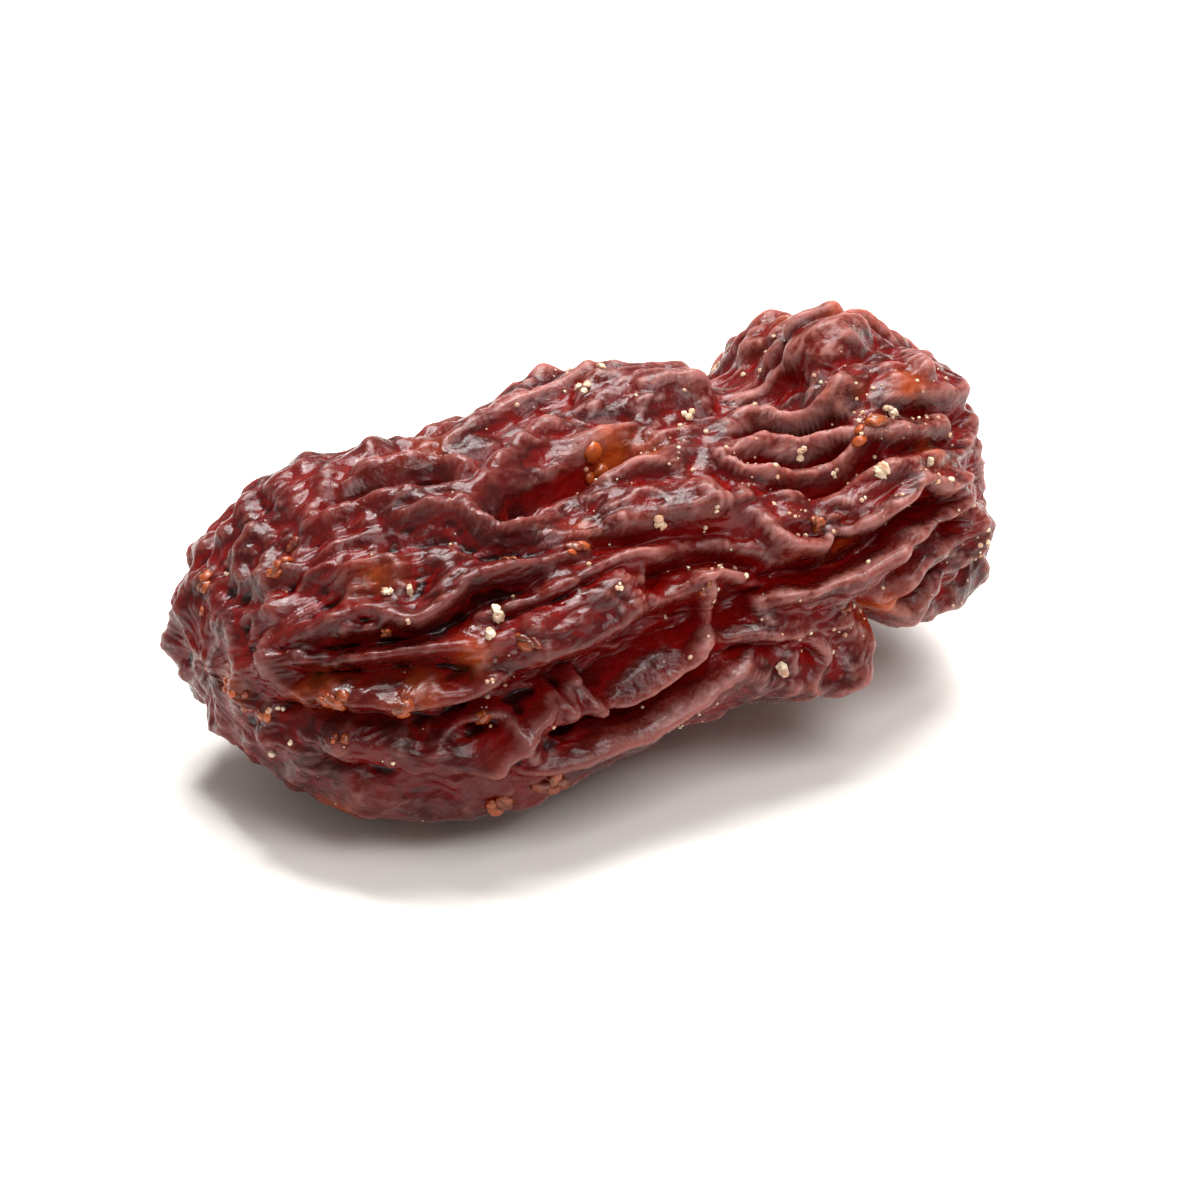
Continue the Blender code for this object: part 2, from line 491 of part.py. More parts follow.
def cut_sole(mesh, height):
    """Cut the underside flat at a height, cap it, and set the solid down centred on the origin."""
    bm = bmesh.new()
    bm.from_mesh(mesh)
    for v in bm.verts:
        if abs(v.co.z - height) < SNAP:
            v.co.z = height
    geometry = bm.verts[:] + bm.edges[:] + bm.faces[:]
    cut = bmesh.ops.bisect_plane(
        bm, geom=geometry, plane_co=(0, 0, height), plane_no=(0, 0, 1), dist=SNAP / 10, clear_inner=True
    )
    rim = [e for e in cut["geom_cut"] if isinstance(e, bmesh.types.BMEdge)]
    bmesh.ops.holes_fill(bm, edges=rim)
    bmesh.ops.triangulate(bm, faces=bm.faces[:])
    bmesh.ops.recalc_face_normals(bm, faces=bm.faces[:])
    points = np.array([v.co for v in bm.verts])
    middle = (points.min(0) + points.max(0)) / 2
    shift = np.array([middle[0], middle[1], points[:, 2].min()])
    for v, p in zip(bm.verts, (points - shift) * MM):
        v.co = p
    bm.to_mesh(mesh)
    bm.free()
    return shift


def skin_material():
    """Dried grape skin: deep red brown, waxy."""
    material = bpy.data.materials.new("raisin_skin")
    material.use_nodes = True
    shader = material.node_tree.nodes["Principled BSDF"]
    shader.inputs["Base Color"].default_value = (0.16, 0.022, 0.014, 1)
    shader.inputs["Roughness"].default_value = 0.38
    shader.inputs["Subsurface Weight"].default_value = 0.2
    return material


def build():
    clear_scene()
    mesh = thinned(skin_mesh("raisin_fine", raisin_grid(ROWS, COLUMNS)), KEEP)
    shift = cut_sole(mesh, SOLE)
    mesh.name = "raisin"
    mesh.materials.append(skin_material())
    mesh.shade_smooth()
    raisin = bpy.data.objects.new("raisin", mesh)
    bpy.context.scene.collection.objects.link(raisin)
    print("raisin: triangles", len(mesh.polygons), "moved by", shift.round(4))


build()
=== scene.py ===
"""One raisin on a pale table: a dried grape lying on its side, with its blunt stem end away."""

import math

import bpy
import numpy as np
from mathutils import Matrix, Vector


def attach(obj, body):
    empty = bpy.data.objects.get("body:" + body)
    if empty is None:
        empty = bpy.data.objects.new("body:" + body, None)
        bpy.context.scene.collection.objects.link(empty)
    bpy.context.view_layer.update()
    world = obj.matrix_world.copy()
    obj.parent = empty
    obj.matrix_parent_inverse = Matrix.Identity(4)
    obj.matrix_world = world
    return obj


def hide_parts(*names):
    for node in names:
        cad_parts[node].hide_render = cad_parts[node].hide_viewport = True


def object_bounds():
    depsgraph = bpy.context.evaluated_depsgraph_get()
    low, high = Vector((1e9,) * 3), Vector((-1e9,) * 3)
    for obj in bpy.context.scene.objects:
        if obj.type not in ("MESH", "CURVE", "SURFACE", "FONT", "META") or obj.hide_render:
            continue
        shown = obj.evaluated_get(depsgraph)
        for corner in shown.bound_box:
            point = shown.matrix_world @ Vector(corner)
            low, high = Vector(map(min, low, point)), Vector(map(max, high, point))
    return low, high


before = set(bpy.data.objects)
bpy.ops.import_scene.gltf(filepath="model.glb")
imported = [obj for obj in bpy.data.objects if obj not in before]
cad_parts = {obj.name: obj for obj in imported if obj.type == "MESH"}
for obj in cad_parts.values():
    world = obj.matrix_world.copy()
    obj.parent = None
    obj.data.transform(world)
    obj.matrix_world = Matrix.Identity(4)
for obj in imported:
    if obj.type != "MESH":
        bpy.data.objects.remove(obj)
cad_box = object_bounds()

# The skin. One whole dried grape: as the flesh lost its water the skin stayed as large as it was,
# and sank into deep lengthwise folds. It is grown, not made, and rests on a small flat spot.

# Body, in millimetres. +X runs along the raisin, +Z is up and -Y faces the viewer.
HALF_LENGTH = 7.55
MIDDLE_X = 0.2
HALF_WIDTH = 4.1
HALF_HEIGHT = 2.9
LEFT_END_FULLNESS = 2.7
RIGHT_END_FULLNESS = 3.0
SECTION_FULLNESS = 2.2

# Wrinkles between the folds, each as (height, spacing across, spacing along) in millimetres, and
# the number of lengthwise pleats round the body with their height and the steep share of each.
PLEATS = 18
PLEAT_HEIGHT = 0.26
LIP_SHARE = 0.24
BUMP = (0.16, 1.7, 2.6)
HOLLOW = (0.26, 0.75, 2.1)
CRINKLE = (0.10, 0.34, 0.70)
HAIRLINE = (0.05, 0.18, 0.60)
# The left end is crumpled: its hollows are small pits.
PIT = (0.32, 0.66, 0.90)
# Pleats wander with a slow and a quick noise and fade in and out with a third, each given by its
# spacings, and for the first two by how many pleats they shift by.
SLOW_WANDER, SLOW_SHIFT = (5.0, 2.4, 2.4), 0.9
QUICK_WANDER, QUICK_SHIFT = (2.2, 1.1, 1.1), 0.40
PLEAT_FADING = (3.0, 1.5, 1.5)
# Seeds of the noise fields.
PLEAT_SEED, HOLLOW_SEED, CRINKLE_SEED, BUMP_SEED, PIT_SEED, HAIRLINE_SEED = 11, 31, 51, 71, 91, 111

# Where wrinkles change, as (start, length): leftwards along the body into the crumpled end, in
# shares of the section from a tip to the full relief and to the full pleats, and down to the
# underside. Then the shares of folds and of wrinkles that are left at a tip, of pleats lost in the
# crumpled end and under a fold, of hollows lost under a fold, and of wrinkles lost underneath.
LEFT_END = (1.6, 2.0)
TIP = (0.0, 0.55)
PLEATED = (0.35, 0.4)
UNDERSIDE = (-1.9, 1.8)
TIP_FOLDS, TIP_WRINKLES = 0.3, 0.25
PLEATS_LOST_LEFT, PLEATS_LOST, HOLLOWS_LOST = 0.5, 0.85, 0.65
LOST_UNDERNEATH = 0.7

# Finish of the skin: the width at which a noise ridge is rounded, the spread of a broad fold and
# the share of its wrinkles that it loses, the slope on which wrinkles are halved and the passes of
# smoothing before it is measured, how much crests and creases are sharpened and against how many
# passes, the depth at which creases bottom out and how softly, how far slopes lean sideways, the
# steepest slope that still leans further and the share of the section from which it is full, and
# the rounding at the resting plane.
RIDGE_ROUNDING = 0.05
BROAD = 0.6
BROAD_COVER = 0.55
GENTLE = 1.7
SLOPE_PASSES = 4
CRISPNESS = 0.6
CRISP_PASSES = 8
CREASE_FLOOR = -0.70
FLOOR_SOFTNESS = 0.08
LEAN = 0.02
STEEPEST = 1.2
LEAN_FULL = 0.4
PRESS = 0.04
# The stem scar's radius and depth, and its rim's height and width.
SCAR_RADIUS = 0.6
SCAR_DEPTH = 0.38
RIM_HEIGHT = 0.13
RIM_WIDTH = 0.22

# Columns of the skin's grid stand closest where the folds are finest, by how much and where.
CROWDING = 0.4
FINEST_AT = math.radians(35)

# The body sways and swells: (place along X, offset or height) in millimetres.
CENTRE_Y = ((-8.0, -0.2), (-3.0, -0.6), (0.5, 0.1), (4.5, 0.3), (6.2, 0.6), (8.0, 0.1))
ROOF = ((-8.0, 5.9), (-5.0, 6.05), (-2.5, 5.95), (0.5, 5.9), (2.4, 5.8), (3.8, 5.47), (5.4, 6.4), (8.0, 6.3))
KEEL = ((-8.0, -0.1), (-3.0, -0.14), (1.0, -0.12), (3.0, 0.3), (6.0, 0.55), (8.0, 0.6))

# Folds of the skin. Each has its height (negative for a crease), how far it spreads on its upper
# and its lower side, how square its top is, and the (along X, degrees round) points it passes.
FOLDS = (
    # Broad swells and dips of the whole body.
    ("shoulder", 0.30, 1.2, 1.2, 3, ((-5.6, 112), (-4.2, 112), (-3.0, 112))),
    ("saddle", -0.30, 0.8, 0.7, 3, ((4.0, 150), (3.9, 128), (3.7, 112), (3.6, 98))),
    ("far corner", 0.35, 0.9, 0.9, 3, ((6.4, 78), (7.0, 74), (7.3, 66))),
    ("end hollow", -0.45, 0.8, 0.8, 3, ((7.2, 44), (7.5, 25), (7.4, 2))),
    ("near corner", 0.42, 0.40, 0.36, 2, ((5.3, -28), (6.0, -32), (6.6, -36), (7.0, -40), (7.2, -42))),
    ("front tuck", -0.85, 1.3, 1.2, 3, ((-0.3, -58), (1.0, -52), (2.4, -52), (3.6, -58), (5.0, -60))),
    ("back dent", -0.60, 0.9, 1.6, 3, ((-3.5, 158), (-1.0, 162), (1.5, 166), (3.5, 160))),
    ("heel", 0.30, 1.0, 1.0, 3, ((-6.6, -30), (-5.8, -45), (-5.0, -60))),
    # Right end, from the top down.
    ("end lobe", 0.40, 0.8, 0.7, 4, ((4.8, 104), (5.3, 100), (6.0, 104))),
    ("dish", -0.16, 0.45, 0.35, 3, ((3.9, 86), (4.3, 84), (4.7, 87))),
    ("dish ripple", 0.09, 0.13, 0.13, 1.6, ((3.6, 90), (3.9, 84), (4.3, 82), (4.7, 84), (4.9, 89))),
    ("dish rim", 0.26, 0.20, 0.12, 1.5,
     ((2.9, 81), (3.4, 82), (3.9, 78), (4.4, 73), (4.9, 72), (5.1, 77))),
    ("smile crease", -0.40, 0.17, 0.18, 3, ((2.8, 73), (3.4, 76), (3.9, 72.5), (4.6, 67.5))),
    ("second lip", 0.26, 0.15, 0.12, 1.5, ((2.6, 66), (3.3, 70), (3.9, 67), (4.4, 63.5), (4.8, 60))),
    ("second crease", -0.40, 0.15, 0.16, 3, ((2.5, 61), (3.1, 64), (3.8, 62), (4.3, 59.5))),
    ("third lip", 0.28, 0.18, 0.12, 1.5,
     ((2.0, 67), (2.2, 61), (2.6, 55), (3.2, 56.5), (3.9, 56.5), (4.5, 55), (5.2, 56))),
    ("third crease", -0.26, 0.14, 0.16, 2, ((2.4, 50), (3.0, 51.5), (3.7, 51.5), (4.6, 50), (5.3, 51))),
    ("blister", 0.22, 0.34, 0.30, 3, ((5.7, 70), (6.2, 69), (6.6, 72))),
    ("blister rim", 0.16, 0.28, 0.11, 1.5, ((5.4, 64), (5.9, 61), (6.5, 61), (7.0, 65))),
    ("side worm", 0.22, 0.30, 0.12, 1.5, ((4.9, 55), (5.4, 50), (6.0, 48), (6.7, 50))),
    ("side worm crease", -0.28, 0.15, 0.15, 2, ((4.6, 49), (5.3, 45), (6.1, 43), (6.9, 44))),
    ("shelf", 0.20, 0.36, 0.34, 3, ((2.7, 47), (3.4, 43), (4.4, 44), (5.4, 40))),
    ("shelf dent", -0.14, 0.20, 0.20, 2, ((3.1, 38), (3.7, 37), (4.3, 38))),
    ("scalloped lip", 0.38, 0.26, 0.10, 1.4,
     ((2.2, 45), (2.4, 38), (2.7, 32.5), (3.3, 32), (3.6, 36), (4.1, 34), (4.6, 30), (5.1, 28.5),
      (5.4, 31), (5.7, 30), (6.1, 25), (6.7, 26), (7.2, 30))),
    ("loop crease", -0.62, 0.18, 0.26, 2,
     ((-0.2, 33), (0.2, 37), (0.8, 38), (1.4, 36), (1.9, 32), (2.3, 28))),
    ("loop lip", 0.26, 0.24, 0.11, 1.5, ((0.7, 30), (1.2, 31), (1.7, 27), (2.2, 23))),
    ("long crease", -0.60, 0.20, 0.26, 2.5,
     ((1.2, 26), (1.8, 24), (2.5, 25), (3.4, 26), (4.1, 27.5), (4.7, 25), (5.3, 22), (6.0, 20))),
    ("under crest", 0.30, 0.10, 0.28, 1.5,
     ((1.8, 16), (2.1, 18.5), (2.9, 17), (3.4, 19.5), (3.9, 21), (4.4, 20.5), (4.9, 19), (5.5, 15),
      (6.2, 14), (7.0, 17))),
    ("under crease", -0.30, 0.18, 0.22, 2, ((4.3, 9), (5.0, 7), (5.8, 9), (6.6, 8))),
    ("end ledge", 0.24, 0.11, 0.28, 1.5, ((4.9, 0), (5.6, 1), (6.4, 0), (7.2, 2))),
    ("end notch", -0.42, 0.14, 0.14, 2, ((6.0, 56), (6.7, 58), (7.3, 61))),
    ("end tuck", -0.42, 0.5, 1.0, 3, ((4.9, -42), (5.4, -54), (6.2, -62), (7.2, -68))),
    ("end groove", -0.34, 0.14, 0.20, 2, ((4.9, -10), (5.6, -9), (6.2, -10))),
    # Middle, from the top down.
    ("top lump", 0.36, 0.9, 0.7, 4, ((0.4, 103), (1.2, 99), (2.2, 97), (2.8, 96))),
    ("top nick", -0.18, 0.22, 0.26, 2, ((2.6, 122), (3.0, 108), (3.3, 98), (3.0, 90))),
    ("brow", 0.34, 0.26, 0.26, 2, ((-2.9, 77), (-2.2, 82), (-1.5, 87), (-0.8, 92), (0.2, 92))),
    ("deep valley", -0.80, 0.36, 0.38, 3, ((-2.3, 69), (-1.4, 72), (-0.6, 73), (0.3, 75), (0.9, 77))),
    ("valley rib", 0.22, 0.14, 0.14, 2, ((-1.6, 66), (-0.7, 69), (0.2, 68), (1.2, 65))),
    ("tongue", 0.38, 0.50, 0.42, 4, ((-0.7, 56), (0.1, 54), (1.0, 53), (1.8, 52))),
    ("tongue crest", 0.24, 0.34, 0.14, 1.5, ((1.4, 49), (2.4, 50), (3.4, 49))),
    ("under tongue", -0.26, 0.16, 0.25, 2, ((-0.9, 49), (0.0, 47), (1.0, 45), (2.0, 43))),
    ("ridge lip", 0.30, 0.24, 0.11, 1.5,
     ((-3.6, 40), (-2.6, 41), (-1.6, 41.5), (-0.6, 42.5), (0.5, 39), (1.5, 38))),
    ("smooth band", 0.42, 0.50, 0.46, 5, ((-3.0, 29), (-2.2, 29.5), (-1.3, 31), (-0.5, 34))),
    ("great crease", -0.85, 0.36, 0.50, 3,
     ((-4.8, 2), (-4.0, 5), (-3.2, 11), (-2.4, 14), (-1.4, 13), (-0.4, 17), (0.6, 20))),
    ("zigzag", 0.40, 0.13, 0.22, 1.5,
     ((-4.6, -5), (-4.2, 0), (-3.8, 4), (-3.4, 3), (-3.1, -2), (-2.9, 1), (-2.6, 4), (-2.4, 8),
      (-2.2, 3), (-2.0, 9), (-1.8, 11))),
    ("star", 0.26, 0.13, 0.18, 1.5, ((-3.8, -15), (-3.5, -9), (-3.2, -5), (-3.0, -9), (-2.8, -15))),
    ("pillar", 0.34, 0.13, 0.13, 1.5, ((-1.9, 13), (-1.8, 8), (-1.7, 2), (-1.5, -7))),
    ("fan", 0.36, 0.13, 0.20, 1.5, ((-1.5, 0), (-0.8, -2), (-0.2, 0), (0.2, 2), (0.5, 5), (0.7, 10))),
    ("hollow", -0.70, 0.34, 0.40, 3, ((0.1, 18), (0.8, 18), (1.4, 18), (1.9, 20))),
    ("hollow rib", 0.40, 0.12, 0.14, 1.5, ((0.95, 27), (1.0, 21), (0.95, 15), (0.7, 9))),
    # Left end, from the top down.
    ("high crest", 0.28, 0.14, 0.26, 1.5, ((-4.2, 103), (-3.6, 99), (-2.9, 97), (-2.5, 91), (-2.3, 86))),
    ("gloss crest", 0.28, 0.14, 0.28, 1.5, ((-5.3, 90), (-4.5, 88), (-3.8, 86), (-3.1, 83), (-2.7, 80))),
    ("high crease", -0.34, 0.20, 0.20, 2, ((-4.9, 97), (-4.0, 93), (-3.3, 91), (-2.8, 88))),
    ("ear crease", -0.36, 0.22, 0.22, 2, ((-2.9, 108), (-2.2, 101), (-1.5, 97), (-1.0, 98))),
    ("slip crest", 0.28, 0.26, 0.13, 1.5, ((-4.2, 79), (-3.2, 75), (-2.8, 69), (-2.3, 63), (-1.4, 62))),
    ("mid crease", -0.30, 0.25, 0.25, 2, ((-5.2, 68), (-4.0, 70), (-3.4, 67), (-2.9, 60), (-2.0, 55))),
    ("left crest", 0.30, 0.24, 0.12, 1.5,
     ((-6.9, 45), (-6.2, 46), (-5.4, 48.5), (-5.0, 44), (-4.6, 41), (-4.1, 45), (-3.4, 51),
      (-2.4, 50), (-1.2, 49))),
    ("left crease", -0.36, 0.16, 0.24, 2,
     ((-6.3, 38), (-5.5, 37), (-4.8, 37), (-4.2, 39), (-3.4, 45), (-2.4, 45))),
    ("worm", 0.24, 0.24, 0.13, 1.5, ((-7.0, 37), (-6.6, 35), (-6.1, 34))),
    ("third crest", 0.26, 0.22, 0.12, 1.5, ((-6.2, 31), (-5.2, 32), (-4.4, 31.5), (-3.6, 30))),
    ("fourth crease", -0.34, 0.18, 0.24, 2, ((-6.6, 26), (-5.6, 26), (-4.6, 25), (-3.8, 22))),
    ("fifth crest", 0.26, 0.24, 0.12, 1.5, ((-6.6, 17), (-5.8, 14), (-5.0, 12), (-4.2, 13), (-3.3, 18))),
    ("low crease", -0.30, 0.16, 0.22, 2, ((-7.0, 4), (-6.4, 4), (-5.6, 5), (-4.8, 3))),
    ("low crest", 0.22, 0.30, 0.35, 3, ((-6.4, -6), (-5.4, -8), (-4.4, -9), (-3.2, -10))),
    ("sill crease", -0.26, 0.16, 0.20, 2, ((-6.2, -20), (-5.2, -23), (-4.2, -22), (-3.2, -18))),
    ("sill", 0.26, 0.30, 0.40, 3, ((-5.8, -34), (-4.6, -38), (-3.4, -36), (-2.2, -34))),
    # Low front edge and the lobe at its right.
    ("shining edge", 0.40, 0.10, 0.38, 1.4,
     ((-3.2, -18), (-2.3, -15), (-1.4, -13), (-0.8, -13), (0.2, -9), (1.1, -3), (1.7, 1))),
    ("red band", -0.62, 0.24, 0.20, 3, ((-2.6, -8), (-1.6, -7), (-0.8, -7), (0.0, -4), (0.8, 1))),
    ("front lobe", 0.46, 0.70, 0.62, 4, ((2.0, -12), (2.8, -20), (3.5, -24), (3.9, -14))),
    ("lobe swirl", 0.14, 0.13, 0.13, 1.6,
     ((2.1, 8), (2.3, 0), (2.9, -4), (3.1, -10), (2.7, -16), (3.4, -22), (4.0, -16))),
    ("lobe dent", -0.20, 0.22, 0.22, 2, ((2.4, -8), (2.9, -12), (3.5, -10))),
    ("lobe groove", -0.26, 0.12, 0.16, 2, ((1.0, 3), (1.9, 1), (2.6, -3), (3.0, -10))),
    ("lobe back", -0.55, 0.24, 0.30, 2, ((4.0, 6), (4.3, -6), (4.6, -16), (4.8, -30), (4.8, -42))),
    ("under lip", 0.30, 0.25, 0.25, 2, ((5.0, -22), (5.8, -14), (6.6, -12), (7.2, -6))),
)


def smooth_path(x, stations):
    """A smooth curve through (x, value) stations: cosine blends from each to the next."""
    xs, values = np.array(stations, float).T
    k = np.clip(np.searchsorted(xs, x) - 1, 0, len(xs) - 2)
    t = np.clip((x - xs[k]) / (xs[k + 1] - xs[k]), 0, 1)
    t = (1 - np.cos(math.pi * t)) / 2
    return values[k] * (1 - t) + values[k + 1] * t


def body_points(x, radius, angle):
    """Points of the plain body: a superellipse section carried along the centre line.

    x is along the raisin, radius is the share of the full section there, and angle is in radians
    from the front (-Y) up over the top (+Z).
    """
    c, s = np.cos(angle), np.sin(angle)
    squircle = (np.abs(c) ** SECTION_FULLNESS + np.abs(s) ** SECTION_FULLNESS) ** (-1 / SECTION_FULLNESS)
    y = smooth_path(x, CENTRE_Y) - HALF_WIDTH * radius * squircle * c
    roof, keel = smooth_path(x, ROOF), smooth_path(x, KEEL)
    z = (roof + keel) / 2 + (roof - keel) / 2 * radius * squircle * s
    return np.stack([x + 0 * angle, y, z], axis=-1)


def end_profile(fullness, count=400):
    """(x, radius) along a quarter of a superellipse of unit size, from the middle to the tip."""
    a = np.linspace(0, math.pi / 2, count)
    return np.sin(a) ** (2 / fullness), np.cos(a) ** (2 / fullness)


def profile():
    """(x, radius) finely along the body's lengthwise profile, tip to tip."""
    xl, rl = end_profile(LEFT_END_FULLNESS)
    xr, rr = end_profile(RIGHT_END_FULLNESS)
    x = np.concatenate([-xl[::-1], xr[1:]]) * HALF_LENGTH + MIDDLE_X
    return x, np.concatenate([rl[::-1], rr[1:]])


def meridian(rows):
    """(x, radius) at rows + 1 stations evenly spaced along the body's lengthwise profile."""
    x, r = profile()
    step = np.hypot(np.diff(x), np.diff(r) * HALF_HEIGHT)
    run = np.concatenate([[0], np.cumsum(step)])
    at = np.linspace(0, run[-1], rows + 1)
    return np.interp(at, run, x), np.interp(at, run, r)


def column_angles(columns):
    """Angles round the body of the grid's columns, closer together about FINEST_AT."""
    even = np.arange(columns) * 2 * math.pi / columns
    return even - CROWDING * np.sin(even - FINEST_AT)


def body_grid(rows, columns):
    """The plain body as a (rows + 1, columns, 3) grid of points, with a tip at each end row."""
    x, r = meridian(rows)
    angle = column_angles(columns)
    return body_points(x[:, None] + 0 * angle, r[:, None] + 0 * angle, angle[None, :] + 0 * x[:, None]), r


def tangents(grid):
    """Steps along the rows and round the columns of a grid that closes on itself round."""
    return np.gradient(grid, axis=0), (np.roll(grid, -1, 1) - np.roll(grid, 1, 1)) / 2


def unit(v):
    return v / np.maximum(np.linalg.norm(v, axis=-1, keepdims=True), 1e-12)


def normals(grid):
    """Outward unit normals of a grid; a tip row shares the mean of the ring beside it."""
    along, around = tangents(grid)
    n = unit(np.cross(along, around))
    n[0], n[-1] = unit(n[1].mean(0)), unit(n[-2].mean(0))
    return n


def through(points, count):
    """A smooth curve through the points (Catmull-Rom), as count samples."""
    p = np.array(points, float)
    p = np.vstack([2 * p[0] - p[1], p, 2 * p[-1] - p[-2]])
    u = np.linspace(0, len(p) - 3 - 1e-9, count)
    i = u.astype(int)
    t = (u - i)[:, None]
    a, b, c, d = p[i], p[i + 1], p[i + 2], p[i + 3]
    return (2 * b + (c - a) * t + (2 * a - 5 * b + 4 * c - d) * t**2 + (3 * b - a - 3 * c + d) * t**3) / 2


def fold_height(points, path, height, upper, lower, squareness):
    """Height of one fold over the body at points.

    With d the distance to the fold's line across it and w its spread on that side, the height is
    height * exp(-|d / w| ** squareness), fading out in a rounded end at each end of the line.
    """
    xs, rs = profile()
    line = through(path, 14 * len(path))
    at = body_points(line[:, 0], np.interp(line[:, 0], xs, rs), np.radians(line[:, 1]))
    ahead = unit(np.gradient(at, axis=0))
    # Upward across the line: towards larger angles round the body.
    nudge = body_points(line[:, 0], np.interp(line[:, 0], xs, rs), np.radians(line[:, 1] + 1)) - at
    across = unit(nudge - (nudge * ahead).sum(-1, keepdims=True) * ahead)
    reach = 3.0 * max(upper, lower)
    near = np.flatnonzero(((points > at.min(0) - reach) & (points < at.max(0) + reach)).all(-1))
    p = points[near]
    best = ((at**2).sum(-1) - 2 * p @ at.T).argmin(-1)
    offset = p - at[best]
    away = (offset**2).sum(-1)
    side = (offset * across[best]).sum(-1)
    beyond = (offset * ahead[best]).sum(-1)
    beyond = np.where((best == 0) | (best == len(at) - 1), beyond, 0)
    depth = np.sqrt(np.maximum(away - side**2 - beyond**2, 0))
    w = np.where(side > 0, upper, lower)
    d = np.sqrt((side / w) ** 2 + (beyond / min(upper, lower)) ** 2 + (depth / (2 * w)) ** 2)
    share = best / (len(at) - 1)
    taper = np.sqrt(np.clip(np.minimum(share, 1 - share) * 6 + 0.15, 0, 1))
    out = np.zeros(len(points))
    out[near] = height * taper * np.exp(-(d**squareness))
    return out


def lattice(seed):
    """A shuffled table and random unit arrows for the noise field, from a seed."""
    rng = np.random.default_rng(seed)
    arrows = rng.normal(size=(256, 3))
    return rng.permutation(256), unit(arrows)


def noise(points, seed):
    """Smooth random field, about -1 to 1 with bumps one unit apart: gradient noise on a cubic lattice."""
    table, arrows = lattice(seed)
    cell = np.floor(points).astype(int)
    f = points - cell
    w = f**3 * (f * (f * 6 - 15) + 10)
    total = 0.0
    for corner in np.ndindex(2, 2, 2):
        c = cell + corner
        pick = table[(table[(table[c[..., 0] % 256] + c[..., 1]) % 256] + c[..., 2]) % 256]
        weight = np.where(corner, w, 1 - w).prod(-1)
        total = total + weight * (arrows[pick] * (f - corner)).sum(-1)
    return total * 1.6


def ridged(points, size, seed):
    """Branching ridges with the height and spacings of size, about evenly above and below 0.

    Height is 1 - |noise|, with the noise field bent by a slower one so that the ridges wander.
    """
    height, across, along = size
    bend = np.stack([noise(points / (3 * across), seed + k) for k in (1, 2, 3)], -1)
    n = noise(points / (along, across, across) + bend * (0.27, 0.9, 0.9), seed)
    return height * (np.clip(1 - np.sqrt(n**2 + RIDGE_ROUNDING**2) / 0.6, -0.4, 1) - 0.55)


def hollows(points, size, seed):
    """Concave hollows that meet in thin crests, with the height and spacings of size.

    With centres scattered one to a cell of a cubic lattice, the height is the squared distance to
    the nearest centre. A slower noise bends the lattice so that the crests wander.
    """
    height, across, along = size
    table, _ = lattice(seed)
    spots = np.random.default_rng(seed).random((256, 3))
    bend = np.stack([noise(points / (2.5 * across), seed + k) for k in (1, 2, 3)], -1)
    p = points / (along, across, across) + bend * (0.2, 0.45, 0.45)
    cell = np.floor(p).astype(int)
    nearest = np.full(len(points), np.inf)
    for corner in np.ndindex(3, 3, 3):
        c = cell + corner - 1
        pick = table[(table[(table[c[..., 0] % 256] + c[..., 1]) % 256] + c[..., 2]) % 256]
        nearest = np.minimum(nearest, ((p - c - spots[pick]) ** 2).sum(-1))
    return height * (1.5 * nearest - 0.5)


def pleats(points, angle, seed):
    """Lengthwise pleats round the body, like overlapping terraces.

    The pleat number rises with the angle and is bent by two noise fields, so pleats wander, pinch
    and close on themselves. Each rises steeply from its crease to a sharp lip over LIP_SHARE of its
    width, then falls away slowly, and a third noise field makes pleats fade in and out.
    """
    slow = noise(points / SLOW_WANDER, seed)
    quick = noise(points / QUICK_WANDER, seed + 1)
    number = PLEATS * angle / (2 * math.pi) + SLOW_SHIFT * slow + QUICK_SHIFT * quick
    t = number % 1
    falling = 1 - np.clip((t - LIP_SHARE) / (1 - LIP_SHARE), 0, 1) ** 0.75
    strength = np.clip(0.7 + 1.3 * noise(points / PLEAT_FADING, seed + 2), 0.15, 1.3)
    return PLEAT_HEIGHT * strength * (np.where(t < LIP_SHARE, smooth_step(t / LIP_SHARE), falling) - 0.45)


def bottomed(h):
    """Heights of the creases with the deepest filled to a nearly flat floor, softly."""
    over = h - CREASE_FLOOR
    lifted = (over + np.sqrt(over**2 + FLOOR_SOFTNESS**2)) / 2
    return CREASE_FLOOR + lifted + 0.15 * np.minimum(over, 0)


